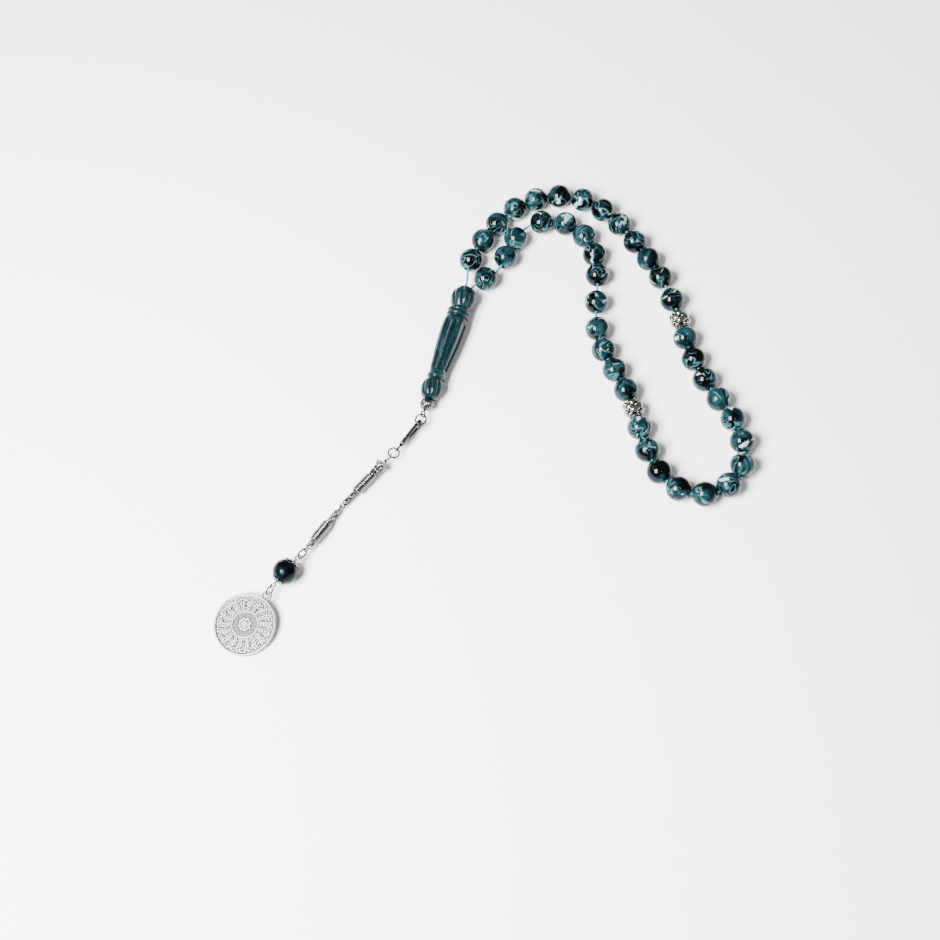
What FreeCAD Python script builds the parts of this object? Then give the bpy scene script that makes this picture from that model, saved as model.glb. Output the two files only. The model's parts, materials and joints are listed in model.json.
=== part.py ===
import FreeCAD, Part
import math
import os
from FreeCAD import Placement, Rotation, Vector

# Misbaha prayer beads laid out flat: thirty-nine round beads in three groups of
# thirteen, two metal separators, a long leader bead (the imame) where both ends
# of the cord meet, and a metal tassel with clasp, chain, drop bead and medallion.
# Millimetres, +Z up. The floor is z = 0 and the origin is the middle of the
# footprint. Every tassel link is drawn along its own X axis, from the point
# where it hangs towards the medallion.

# ---- beads -------------------------------------------------------------------
BEAD_RADIUS = 5.0
BEAD_BORE_RADIUS = 1.1
BEAD_BORE_LIP = 0.2
BEAD_GAP = 0.2
BEADS_PER_GROUP = 13
GROUPS = 3

# ---- separators --------------------------------------------------------------
SEPARATOR_RADIUS = 4.2
SEPARATOR_LENGTH = 7.0
SEPARATOR_END_RADIUS = 2.6
SEPARATOR_DIMPLE_RADIUS = 2.4
SEPARATOR_DIMPLE_DEPTH = 0.35
SEPARATOR_DIMPLES_ROUND = 8
SEPARATOR_ROW_OFFSETS = (-1.9, 0.0, 1.9)

# ---- cord --------------------------------------------------------------------
CORD_RADIUS = 0.5
CORD_HEIGHT = BEAD_RADIUS
ARC_SHARE = 0.45
CORD_PAIR_OFFSET = 0.65
CORD_MOUTH_REACH = 2.0
FIRST_BEAD_DISTANCE = 19.2
PATH_STEP = 0.05

# Plan of the cord from the leader round the loop and back to the leader.
ROUTE_PLAN = (
    (12.1, 61.8),
    (20.9, 72.6),
    (34.0, 84.4),
    (48.9, 88.6),
    (64.5, 85.2),
    (76.1, 73.2),
    (83.7, 56.5),
    (90.3, 38.6),
    (93.3, 20.5),
    (93.5, 2.0),
    (97.5, -16.0),
    (103.9, -30.0),
    (105.7, -43.8),
    (101.5, -56.2),
    (87.9, -63.0),
    (73.9, -57.2),
    (67.9, -43.4),
    (66.7, -26.6),
    (65.3, -9.0),
    (59.3, 7.6),
    (59.1, 24.0),
    (63.9, 40.0),
    (65.9, 54.4),
    (63.1, 66.2),
    (54.9, 74.4),
    (43.7, 76.2),
    (33.1, 70.2),
    (24.1, 53.2),
)

# Extra bare cord after a bead, counted from the leader round the loop.
SLACK_AFTER = {1: 0.7, 3: 0.4, 9: 0.7, 12: 1.6, 13: 1.2, 30: 2.4, 31: 3.0, 36: 3.4, 38: 3.2}

# ---- leader bead (imame) -----------------------------------------------------
LEADER_TIP = Vector(9.7, 48.9, 0.0)
LEADER_HEADING = -116.4
LEADER_REST_CLEARANCE = 0.05
LEADER_LENGTH = 53.5
LEADER_TOP_BALL_RADIUS = 5.4
LEADER_TOP_BALL_LENGTH = 10.8
LEADER_TIP_RADIUS = 2.3
LEADER_NECK_RADIUS = 3.6
LEADER_STEP = 0.4
LEADER_BEVEL = 0.3
LEADER_RING_RADIUS = 4.75
LEADER_BARREL_START = 15.2
LEADER_SHOULDER_LENGTH = 1.6
LEADER_SHOULDER_RADIUS = 4.85
LEADER_BELLY_OFFSET = 8.0
LEADER_BELLY_RADIUS = 5.0
LEADER_BARREL_END_RADIUS = 3.35
LEADER_BARREL_END = 42.6
LEADER_COLLAR_RADIUS = 3.85
LEADER_COLLAR_LENGTH = 1.6
LEADER_COLLAR_NECK_RADIUS = 3.05
LEADER_END_BALL_RADIUS = 4.55
LEADER_END_BALL_LENGTH = 9.0
LEADER_FLUTES = 8
LEADER_FLUTE_RADIUS = 1.3
LEADER_FLUTE_DEPTH = 0.45
LEADER_FLUTE_START = 17.6
LEADER_FLUTE_END = 41.0
LEADER_FLUTE_START_CREST = 4.95
LEADER_FLUTE_END_CREST = 3.6
LEADER_BALL_GROOVES = 10
LEADER_BALL_GROOVE_RADIUS = 0.45
LEADER_BALL_GROOVE_SHARE = 1.5
GROOVE_LIFT = 0.1
LEADER_CORD_BORE_RADIUS = 1.5
LEADER_CORD_BORE_DEPTH = 5.0
LEADER_PIN_BORE_DEPTH = 9.0

# ---- tassel ------------------------------------------------------------------
LINK_CLEARANCE = 0.22
PIN_CLEARANCE = 0.05
RING_SLIT_DEGREES = 3.0
RING_SLIT_TURN = 70.0
CAP_BEAD_RADIUS = 2.75
CAP_BEAD_SEAT = 0.2
CAP_BEAD_RIBS = 12
CAP_BEAD_GROOVE_RADIUS = 0.3
CAP_BEAD_GROOVE_SHARE = 1.4
LEADER_PIN_RADIUS = 0.4
LEADER_EYE_RADIUS = 1.2
LEADER_EYE_STEM = 0.1
LEADER_EYE_ROLL = -65.0
EYE_WIRE_RADIUS = 0.32
UPPER_RING_RADIUS = 2.2
RING_WIRE_RADIUS = 0.34
LOWER_RING_RADIUS = 2.15

CLASP_THICKNESS = 1.5
CLASP_EDGE_ROUNDING = 0.35
CLASP_NOSE_CLEARANCE = 0.12
CLASP_FRONT_RADIUS = 3.3
CLASP_FRONT_CENTRE = 2.7
CLASP_BACK_RADIUS = 1.8
CLASP_BACK_CENTRE = 11.4
CLASP_HOLE_FRONT_RADIUS = 2.1
CLASP_HOLE_FRONT_CENTRE = 2.8
CLASP_HOLE_BACK_RADIUS = 0.9
CLASP_HOLE_BACK_CENTRE = 7.6
CLASP_GATE_START = 1.9
CLASP_GATE_END = 10.1
CLASP_GATE_LOW = 0.5
CLASP_SLOT_WIDTH = 0.8
CLASP_GATE_OVERLAP = 0.4
CLASP_TONGUE_START = 3.9
CLASP_TONGUE_END = 9.7
CLASP_SLOT_REAR_START = 7.6
CLASP_SLOT_REAR_LOW = -0.5
CLASP_PIVOT = Vector(9.1, 1.15, 0.0)
CLASP_PIVOT_RADIUS = 0.35
CLASP_LEVER_CLEARANCE = 0.12
CLASP_TAB_RADIUS = 0.75
CLASP_TAB_CENTRE = (9.3, 2.7)
SWIVEL_POCKET_START = 11.0
SWIVEL_POCKET_LENGTH = 1.1
SWIVEL_POCKET_HALF_WIDTH = 0.95
SWIVEL_HEAD_RADIUS = 0.72
SWIVEL_HEAD_LENGTH = 0.6
SWIVEL_POST_RADIUS = 0.4
SWIVEL_EYE_RADIUS = 1.1
SWIVEL_EYE_STEM = 0.15

CROWN_LOOP_HALF_WIDTH = 0.95
CROWN_LOOP_LENGTH = 5.0
CROWN_RADIUS = 2.9
CROWN_NECK_RADIUS = 1.75
CROWN_LENGTH = 6.6
CROWN_TUCK = 0.2
CROWN_FACE_RADIUS = 2.3
CROWN_SHOULDER_RADIUS = 2.2
CROWN_BEVEL = 0.4
CROWN_RIM_END = 1.5
CROWN_NOTCHES = 10
CROWN_NOTCH_START = 1.7
CROWN_NOTCH_RADIUS = 0.35
CHAIN_RADIUS = 1.05
CHAIN_WAIST_RADIUS = 0.8
CHAIN_PITCH = 1.0
CHAIN_SEAM_TURN = 35.0
SLEEVE_INNER_RADIUS = 1.12
SLEEVE_OUTER_RADIUS = 1.65
SLEEVE_TURN_PITCH = 0.62
UPPER_SLEEVE_TURNS = 15
LOWER_SLEEVE_TURNS = 17
LOWER_SLEEVE_TAIL = 2.6
UPPER_SLEEVE_GAP = 0.1
UPPER_CHAIN_LINKS = 16
LOWER_CHAIN_LINKS = 20
CHAIN_EYE_RADIUS = 0.95
CHAIN_EYE_WIRE = 0.28
OVAL_END_RADIUS = 1.35
OVAL_STRAIGHT = 1.8
OVAL_WIRE_RADIUS = 0.33

DROP_BEAD_RADIUS = 5.0
DROP_BORE_RADIUS = 0.6
DROP_PIN_RADIUS = 0.4
DROP_EYE_RADIUS = 1.15
DROP_EYE_STEM = 0.3
DROP_CAP_THICKNESS = 0.35
DROP_CAP_GAP = 0.12
DROP_CAP_SPREADS = {"upper": 38.0, "lower": 32.0}
DROP_CAP_HOLES = 8
DROP_CAP_HOLE_RADIUS = 0.5
DROP_CAP_HOLE_SHARE = 0.68
MEDALLION_RING_RADIUS = 1.85
MEDALLION_RING_WIRE = 0.3

MEDALLION_RADIUS = 12.2
MEDALLION_THICKNESS = 1.8
MEDALLION_RIM = 0.8
MEDALLION_RECESS = 0.25
MEDALLION_ROUNDEL_RADIUS = 5.2
MEDALLION_ROUNDEL_WALL = 0.4
MEDALLION_STAR_RADIUS = 3.6
BAIL_RADIUS = 1.65
BAIL_WIRE_RADIUS = 0.42
BAIL_OVERLAP = 0.7

# Heading in the plan, pitch (nose down is positive) and roll of each link.
LINK_ANGLES = {
    "upper_ring": (-126.0, 9.0, 8.0),
    "clasp": (-137.0, 1.0, 80.0),
    "swivel": (-137.0, 1.0, 76.0),
    "lower_ring": (-142.0, -5.0, -4.0),
    "chain_upper": (-142.0, 3.6, -84.0),
    "chain_lower": (-134.0, -4.6, 30.0),
    "oval_link": (-138.0, -21.0, -60.0),
    "drop": (-138.0, 0.0, 30.0),
    "medallion_ring": (-130.0, 27.0, -76.0),
    "medallion": (-136.0, 6.1, 0.0),
}

ALONG_X = Vector(1, 0, 0)
FULL_TURN = 360.0
FAR = 60.0
OVERCUT = 1.0
THIN = 0.01


def revolved(outline):
    """Solid of revolution about X of a closed outline of edges in the XY plane."""
    face = Part.Face(Part.Wire(outline))
    return face.revolve(Vector(0, 0, 0), ALONG_X, FULL_TURN)


def line_edges(corners):
    """Straight edges from each corner to the next."""
    return [Part.LineSegment(a, b).toShape() for a, b in zip(corners, corners[1:])]


def polygon_edges(points):
    """Straight edges through (x, radius) points, closed back to the first."""
    corners = [Vector(x, y, 0) for x, y in points]
    return line_edges(corners + corners[:1])


def rod(start, end, radius):
    """Cylinder along X between two stations."""
    return Part.makeCylinder(radius, end - start, Vector(start, 0, 0), ALONG_X)


def ring(centre_x, mean_radius, wire_radius, slit=0.0):
    """Wire ring in the XY plane, its slit (if any) at its side."""
    torus = Part.makeTorus(
        mean_radius, wire_radius, Vector(0, 0, 0), Vector(0, 0, 1), 0, FULL_TURN, FULL_TURN - slit
    )
    torus.rotate(Vector(0, 0, 0), Vector(0, 0, 1), RING_SLIT_TURN)
    torus.translate(Vector(centre_x, 0, 0))
    return torus


def turned_copies(shape, count):
    """The shape repeated evenly about the X axis."""
    copies = []
    for index in range(count):
        copy = shape.copy()
        copy.rotate(Vector(0, 0, 0), ALONG_X, index * FULL_TURN / count)
        copies.append(copy)
    return copies


def placed(shape, frame):
    """A copy of the shape moved from its own frame into the assembly."""
    result = shape.copy()
    result.Placement = frame.multiply(result.Placement)
    return result


def export(name, shape):
    """Write one piece to its own file."""
    shape.exportStep("parts/" + name + ".step")


# ---- cord route --------------------------------------------------------------
def leader_direction():
    """Level unit vector from the leader's cord end towards its tassel end."""
    angle = math.radians(LEADER_HEADING)
    return Vector(math.cos(angle), math.sin(angle), 0)


def cord_route():
    """Route points from one end inside the leader, round the loop, to the other."""
    inward = leader_direction()
    sideways = Vector(-inward.y, inward.x, 0)
    bore_floor = LEADER_TIP + inward * LEADER_CORD_BORE_DEPTH
    bore_floor.z = CORD_HEIGHT
    start = bore_floor - sideways * CORD_PAIR_OFFSET
    end = bore_floor + sideways * CORD_PAIR_OFFSET
    to_mouth = inward * (LEADER_CORD_BORE_DEPTH + CORD_MOUTH_REACH)
    middle = [Vector(x, y, CORD_HEIGHT) for x, y in ROUTE_PLAN]
    return [start, start - to_mouth] + middle + [end - to_mouth, end]


def rounded_wire(points):
    """Straight runs joined by tangent arcs, each as large as its two runs allow."""
    edges = []
    radii = []
    run_start = points[0]
    for before, corner, after in zip(points, points[1:], points[2:]):
        run_in = corner - before
        run_out = after - corner
        turn = run_in.getAngle(run_out)
        tangent = ARC_SHARE * min(run_in.Length, run_out.Length)
        radius = tangent / math.tan(turn / 2)
        run_in.normalize()
        run_out.normalize()
        arc_start = corner - run_in * tangent
        arc_end = corner + run_out * tangent
        inward = (run_out - run_in).normalize()
        arc_middle = corner + inward * (radius / math.cos(turn / 2) - radius)
        edges.append(Part.LineSegment(run_start, arc_start).toShape())
        edges.append(Part.Arc(arc_start, arc_middle, arc_end).toShape())
        radii.append(radius)
        run_start = arc_end
    edges.append(Part.LineSegment(run_start, points[-1]).toShape())
    return Part.Wire(edges), radii


def cord_solid(wire, start, direction):
    """Round section swept along the route."""
    section = Part.Wire(Part.makeCircle(CORD_RADIUS, start, direction))
    return wire.makePipeShell([section], True, False)


# ---- places of the strung pieces --------------------------------------------
def strung_frame(path, index, half_length):
    """Frame of a strung piece whose bore follows the cord as closely as it can."""
    reach = round(half_length / PATH_STEP)
    back = path[index - reach]
    front = path[index + reach]
    centre = ((back + front) * 0.5 + path[index]) * 0.5
    heading = math.degrees(math.atan2(front.y - back.y, front.x - back.x))
    return Placement(centre, Rotation(heading, 0, 0))


def string_order():
    """Names and half lengths of the strung pieces, once round the loop."""
    order = []
    for group in range(GROUPS):
        for place in range(BEADS_PER_GROUP):
            number = group * BEADS_PER_GROUP + place + 1
            order.append(("bead_%02d" % number, BEAD_RADIUS, number))
        if group < GROUPS - 1:
            order.append(("separator_%d" % (group + 1), SEPARATOR_LENGTH / 2, 0))
    return order


def strung_frames(wire):
    """Each strung piece's frame, spaced by touching distance plus the slack."""
    path = wire.discretize(Number=round(wire.Length / PATH_STEP) + 1)
    index = round(FIRST_BEAD_DISTANCE / PATH_STEP)
    frames = {}
    previous = None
    for name, half_length, number in string_order():
        if previous:
            spacing = previous["half"] + half_length + BEAD_GAP + previous["slack"]
            while strung_frame(path, index, half_length).Base.distanceToPoint(previous["at"]) < spacing:
                index += 1
        frames[name] = strung_frame(path, index, half_length)
        slack = SLACK_AFTER.get(number, 0.0)
        previous = {"at": frames[name].Base, "half": half_length, "slack": slack}
    return frames


# ---- strung pieces -----------------------------------------------------------
def bead(radius, bore_radius):
    """Round bead with a through bore along X and softened bore mouths."""
    ball = Part.makeSphere(radius, Vector(0, 0, 0), ALONG_X)
    bored = ball.cut(rod(-radius - OVERCUT, radius + OVERCUT, bore_radius))
    mouths = [edge for edge in bored.Edges if edge.BoundBox.XLength < THIN]
    return bored.makeChamfer(BEAD_BORE_LIP, mouths)


def separator():
    """Barrel of hammered metal with three staggered rows of dimples."""
    half = SEPARATOR_LENGTH / 2
    left = Vector(-half, SEPARATOR_END_RADIUS, 0)
    right = Vector(half, SEPARATOR_END_RADIUS, 0)
    top = Vector(0, SEPARATOR_RADIUS, 0)
    left_bore = Vector(-half, BEAD_BORE_RADIUS, 0)
    right_bore = Vector(half, BEAD_BORE_RADIUS, 0)
    barrel = revolved([
        Part.Arc(left, top, right).toShape(),
        Part.LineSegment(right, right_bore).toShape(),
        Part.LineSegment(right_bore, left_bore).toShape(),
        Part.LineSegment(left_bore, left).toShape(),
    ])
    drop = SEPARATOR_RADIUS - SEPARATOR_END_RADIUS
    half_step = FULL_TURN / SEPARATOR_DIMPLES_ROUND / 2
    for row, offset in enumerate(SEPARATOR_ROW_OFFSETS):
        surface = SEPARATOR_RADIUS - drop * (offset / half) ** 2
        reach = surface + SEPARATOR_DIMPLE_RADIUS - SEPARATOR_DIMPLE_DEPTH
        tool = Part.makeSphere(SEPARATOR_DIMPLE_RADIUS, Vector(offset, reach, 0))
        tool.rotate(Vector(0, 0, 0), ALONG_X, row * half_step)
        barrel = barrel.cut(turned_copies(tool, SEPARATOR_DIMPLES_ROUND))
    return barrel


# ---- leader bead -------------------------------------------------------------
def ball_arc(start, length, radius, end_radius):
    """Arc of a ball between two stations, with the given radius at both ends."""
    left = Vector(start, end_radius, 0)
    middle = Vector(start + length / 2, radius, 0)
    right = Vector(start + length, end_radius, 0)
    return Part.Arc(left, middle, right).toShape()


def leader_body():
    """The leader's outline turned about its axis, before fluting and boring."""
    ball_end = LEADER_TOP_BALL_LENGTH
    ring_middle = (ball_end + LEADER_BARREL_START) / 2
    end_ball_start = LEADER_LENGTH - LEADER_END_BALL_LENGTH
    barrel_start = LEADER_BARREL_START
    stations = [
        (ball_end, LEADER_NECK_RADIUS),
        (ball_end + LEADER_STEP, LEADER_NECK_RADIUS),
        (ball_end + LEADER_STEP + LEADER_BEVEL, LEADER_RING_RADIUS),
        (ring_middle - LEADER_BEVEL, LEADER_RING_RADIUS),
        (ring_middle, LEADER_NECK_RADIUS),
        (ring_middle + LEADER_BEVEL, LEADER_RING_RADIUS),
        (barrel_start - LEADER_STEP - LEADER_BEVEL, LEADER_RING_RADIUS),
        (barrel_start - LEADER_BEVEL, LEADER_NECK_RADIUS),
        (barrel_start, LEADER_NECK_RADIUS),
        (barrel_start + LEADER_SHOULDER_LENGTH, LEADER_SHOULDER_RADIUS),
    ]
    collar_end = LEADER_BARREL_END + LEADER_COLLAR_LENGTH
    collar = [
        (LEADER_BARREL_END, LEADER_BARREL_END_RADIUS),
        (LEADER_BARREL_END + LEADER_STEP, LEADER_COLLAR_RADIUS),
        (collar_end - LEADER_STEP, LEADER_COLLAR_RADIUS),
        (collar_end, LEADER_COLLAR_NECK_RADIUS),
        (end_ball_start, LEADER_COLLAR_NECK_RADIUS),
    ]
    shoulder = Vector(*stations[-1], 0)
    belly = Vector(barrel_start + LEADER_BELLY_OFFSET, LEADER_BELLY_RADIUS, 0)
    barrel_foot = Vector(*collar[0], 0)
    corners = [Vector(x, y, 0) for x, y in stations]
    collar_corners = [Vector(x, y, 0) for x, y in collar]
    tip = Vector(0, 0, 0)
    tip_rim = Vector(0, LEADER_TIP_RADIUS, 0)
    ball_top = Vector(LEADER_TOP_BALL_RADIUS, LEADER_TOP_BALL_RADIUS, 0)
    end_rim = Vector(LEADER_LENGTH, LEADER_COLLAR_NECK_RADIUS, 0)
    end = Vector(LEADER_LENGTH, 0, 0)
    outline = [Part.LineSegment(tip, tip_rim).toShape()]
    outline.append(Part.Arc(tip_rim, ball_top, corners[0]).toShape())
    outline += line_edges(corners)
    outline.append(Part.Arc(shoulder, belly, barrel_foot).toShape())
    outline += line_edges(collar_corners)
    outline.append(ball_arc(end_ball_start, LEADER_END_BALL_LENGTH, LEADER_END_BALL_RADIUS, end_rim.y))
    outline.append(Part.LineSegment(end_rim, end).toShape())
    outline.append(Part.LineSegment(end, tip).toShape())
    return revolved(outline)


def ball_grooves(centre_x, ball_radius, groove_radius, share, count):
    """Meridian grooves of a melon-shaped ball, kept clear of its two ends.

    Each hoop cuts two grooves, so half of the copies are enough.
    """
    centre = Vector(centre_x, 0, 0)
    hoop = Part.makeTorus(ball_radius + GROOVE_LIFT, groove_radius, centre, Vector(0, 1, 0))
    width = share * ball_radius
    slab = Part.makeBox(width, FAR, FAR, Vector(centre_x - width / 2, -FAR / 2, -FAR / 2))
    return turned_copies(hoop.common(slab), count)[: count // 2]


def leader_ball_grooves(centre_x, ball_radius):
    """The grooves of one of the leader's two balls."""
    return ball_grooves(
        centre_x, ball_radius, LEADER_BALL_GROOVE_RADIUS, LEADER_BALL_GROOVE_SHARE, LEADER_BALL_GROOVES
    )


def barrel_flutes():
    """Long flutes that follow the taper of the barrel."""
    lift = LEADER_FLUTE_RADIUS - LEADER_FLUTE_DEPTH
    first = Vector(LEADER_FLUTE_START, LEADER_FLUTE_START_CREST + lift, 0)
    last = Vector(LEADER_FLUTE_END, LEADER_FLUTE_END_CREST + lift, 0)
    along = last - first
    flute = Part.makeCylinder(LEADER_FLUTE_RADIUS, along.Length, first, along)
    ends = [Part.makeSphere(LEADER_FLUTE_RADIUS, point) for point in (first, last)]
    return turned_copies(flute.fuse(ends), LEADER_FLUTES)


def leader(frame, cord_floor):
    """The fluted leader with a level bore for both cord ends and one for the pin."""
    body = leader_body()
    body = body.cut(leader_ball_grooves(LEADER_TOP_BALL_RADIUS, LEADER_TOP_BALL_RADIUS))
    end_ball_centre = LEADER_LENGTH - LEADER_END_BALL_LENGTH / 2
    body = body.cut(leader_ball_grooves(end_ball_centre, LEADER_END_BALL_RADIUS))
    body = body.cut(barrel_flutes())
    pin_bore_start = LEADER_LENGTH - LEADER_PIN_BORE_DEPTH
    body = body.cut(rod(pin_bore_start, LEADER_LENGTH + OVERCUT, LEADER_PIN_RADIUS + PIN_CLEARANCE))
    body = placed(body, frame)
    outward = leader_direction() * -1
    bore_length = LEADER_CORD_BORE_DEPTH + CORD_MOUTH_REACH
    bore = Part.makeCylinder(LEADER_CORD_BORE_RADIUS, bore_length, cord_floor, outward)
    return body.cut(bore)


def cap_bead():
    """Small ribbed metal bead, flat where it sits on the leader's lower end."""
    centre = LEADER_LENGTH + CAP_BEAD_RADIUS - CAP_BEAD_SEAT
    ball = Part.makeSphere(CAP_BEAD_RADIUS, Vector(centre, 0, 0), ALONG_X)
    ball = ball.cut(rod(LEADER_LENGTH - FAR, LEADER_LENGTH, FAR))
    ball = ball.cut(rod(LEADER_LENGTH - OVERCUT, centre + FAR, LEADER_PIN_RADIUS + PIN_CLEARANCE))
    grooves = ball_grooves(
        centre, CAP_BEAD_RADIUS, CAP_BEAD_GROOVE_RADIUS, CAP_BEAD_GROOVE_SHARE, CAP_BEAD_RIBS
    )
    return ball.cut(grooves)


def leader_eye_centre():
    """Station of the middle of the leader pin's eye."""
    cap_bead_end = LEADER_LENGTH + 2 * CAP_BEAD_RADIUS
    return cap_bead_end + LEADER_EYE_STEM + EYE_WIRE_RADIUS + LEADER_EYE_RADIUS


def leader_pin():
    """Pin glued in the leader, through the cap bead, ending in an eye."""
    eye_centre = leader_eye_centre()
    shaft_end = eye_centre - LEADER_EYE_RADIUS
    shaft = rod(LEADER_LENGTH - LEADER_PIN_BORE_DEPTH, shaft_end, LEADER_PIN_RADIUS)
    return shaft.fuse(ring(eye_centre, LEADER_EYE_RADIUS, EYE_WIRE_RADIUS))


# ---- tassel links, each along its own X axis --------------------------------
def jump_ring(mean_radius):
    """Round ring whose near wire is at the link's origin."""
    return ring(mean_radius, mean_radius, RING_WIRE_RADIUS, RING_SLIT_DEGREES)


def tapered_plate(front_x, front_radius, back_x, back_radius, thickness):
    """Plate with the outline of a belt round two circles."""
    taper = math.acos((front_radius - back_radius) / (back_x - front_x))
    tangent = Vector(math.cos(taper), math.sin(taper), 0)
    mirror = Vector(tangent.x, -tangent.y, 0)
    front = Vector(front_x, 0, 0)
    back = Vector(back_x, 0, 0)
    front_tip = Vector(front_x - front_radius, 0, 0)
    back_tip = Vector(back_x + back_radius, 0, 0)
    upper = Part.LineSegment(front + tangent * front_radius, back + tangent * back_radius)
    lower = Part.LineSegment(back + mirror * back_radius, front + mirror * front_radius)
    back_arc = Part.Arc(upper.EndPoint, back_tip, lower.StartPoint)
    front_arc = Part.Arc(lower.EndPoint, front_tip, upper.StartPoint)
    wire = Part.Wire([edge.toShape() for edge in (upper, back_arc, lower, front_arc)])
    plate = Part.Face(wire).extrude(Vector(0, 0, thickness))
    plate.translate(Vector(0, 0, -thickness / 2))
    return plate


def clasp_outline(thickness):
    """Claw plate with its opening and rounded rims."""
    outer = tapered_plate(
        CLASP_FRONT_CENTRE, CLASP_FRONT_RADIUS, CLASP_BACK_CENTRE, CLASP_BACK_RADIUS, thickness
    )
    hole = tapered_plate(
        CLASP_HOLE_FRONT_CENTRE,
        CLASP_HOLE_FRONT_RADIUS,
        CLASP_HOLE_BACK_CENTRE,
        CLASP_HOLE_BACK_RADIUS,
        thickness + OVERCUT,
    )
    claw = outer.cut(hole)
    rims = [edge for edge in claw.Edges if edge.BoundBox.ZLength < THIN]
    return claw.makeFillet(CLASP_EDGE_ROUNDING, rims)


def clasp_body():
    """Lobster-claw body with an open gate, a lever slot and a swivel pocket."""
    body = clasp_outline(CLASP_THICKNESS)
    half = CLASP_THICKNESS / 2 + OVERCUT
    gate_length = CLASP_HOLE_BACK_CENTRE + CLASP_GATE_OVERLAP - CLASP_GATE_START
    gate = Part.makeBox(gate_length, FAR, 2 * half, Vector(CLASP_GATE_START, CLASP_GATE_LOW, -half))
    slot_half = CLASP_SLOT_WIDTH / 2
    slot = Part.makeBox(
        CLASP_GATE_END - CLASP_GATE_START,
        FAR,
        CLASP_SLOT_WIDTH,
        Vector(CLASP_GATE_START, CLASP_GATE_LOW, -slot_half),
    )
    rear_slot = Part.makeBox(
        CLASP_GATE_END - CLASP_SLOT_REAR_START,
        FAR,
        CLASP_SLOT_WIDTH,
        Vector(CLASP_SLOT_REAR_START, CLASP_SLOT_REAR_LOW, -slot_half),
    )
    pivot_radius = CLASP_PIVOT_RADIUS + PIN_CLEARANCE
    pivot_hole = Part.makeCylinder(pivot_radius, 2 * half, CLASP_PIVOT - Vector(0, 0, half))
    pocket = Part.makeBox(
        SWIVEL_POCKET_LENGTH,
        2 * SWIVEL_POCKET_HALF_WIDTH,
        2 * half,
        Vector(SWIVEL_POCKET_START, -SWIVEL_POCKET_HALF_WIDTH, -half),
    )
    post_hole = rod(SWIVEL_POCKET_START, CLASP_BACK_CENTRE + FAR, SWIVEL_POST_RADIUS + PIN_CLEARANCE)
    return body.cut([gate, slot, rear_slot, pivot_hole, pocket, post_hole])


def clasp_lever():
    """Gate of the clasp with its pivot pin and the tab that the thumb pulls."""
    gap = CLASP_LEVER_CLEARANCE
    blade = clasp_outline(CLASP_THICKNESS - gap)
    front = Part.makeBox(
        CLASP_HOLE_BACK_CENTRE + CLASP_GATE_OVERLAP - CLASP_GATE_START - 2 * gap,
        FAR,
        CLASP_THICKNESS,
        Vector(CLASP_GATE_START + gap, CLASP_GATE_LOW + gap, -CLASP_THICKNESS / 2),
    )
    tongue_width = CLASP_SLOT_WIDTH - 2 * gap
    rear = Part.makeBox(
        CLASP_TONGUE_END - CLASP_TONGUE_START,
        FAR,
        tongue_width,
        Vector(CLASP_TONGUE_START, CLASP_GATE_LOW + gap, -tongue_width / 2),
    )
    pin = Part.makeCylinder(
        CLASP_PIVOT_RADIUS, CLASP_THICKNESS, CLASP_PIVOT - Vector(0, 0, CLASP_THICKNESS / 2)
    )
    tab_base = Vector(*CLASP_TAB_CENTRE, -tongue_width / 2)
    tab = Part.makeCylinder(CLASP_TAB_RADIUS, tongue_width, tab_base)
    sweep_radius = CLASP_PIVOT.x - CLASP_GATE_START - gap
    sweep_base = CLASP_PIVOT - Vector(0, 0, CLASP_THICKNESS)
    sweep = Part.makeCylinder(sweep_radius, 2 * CLASP_THICKNESS, sweep_base)
    return blade.common(front.fuse(rear)).common(sweep).fuse([pin, tab])


def clasp_swivel():
    """Headed post that turns in the clasp's back end, with the eye outside."""
    head_start = SWIVEL_POCKET_START + (SWIVEL_POCKET_LENGTH - SWIVEL_HEAD_LENGTH) / 2
    head = rod(head_start, head_start + SWIVEL_HEAD_LENGTH, SWIVEL_HEAD_RADIUS)
    eye_centre = swivel_eye_centre()
    post = rod(head_start, eye_centre - SWIVEL_EYE_RADIUS, SWIVEL_POST_RADIUS)
    return head.fuse([post, ring(eye_centre, SWIVEL_EYE_RADIUS, EYE_WIRE_RADIUS)])


def swivel_eye_centre():
    """Station of the middle of the swivel's eye."""
    clasp_end = CLASP_BACK_CENTRE + CLASP_BACK_RADIUS
    return clasp_end + SWIVEL_EYE_STEM + EYE_WIRE_RADIUS + SWIVEL_EYE_RADIUS


def long_loop(length, half_width, wire_radius):
    """Wire loop from the origin along X, round at both ends."""
    near = half_width
    far = length - half_width
    left = Vector(near, half_width, 0)
    right = Vector(far, half_width, 0)
    left_low = Vector(near, -half_width, 0)
    right_low = Vector(far, -half_width, 0)
    edges = [
        Part.LineSegment(left, right),
        Part.Arc(right, Vector(length, 0, 0), right_low),
        Part.LineSegment(right_low, left_low),
        Part.Arc(left_low, Vector(0, 0, 0), left),
    ]
    wire = Part.Wire([edge.toShape() for edge in edges])
    section = Part.Wire(Part.makeCircle(wire_radius, left, ALONG_X))
    return wire.makePipeShell([section], True, False)


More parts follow.
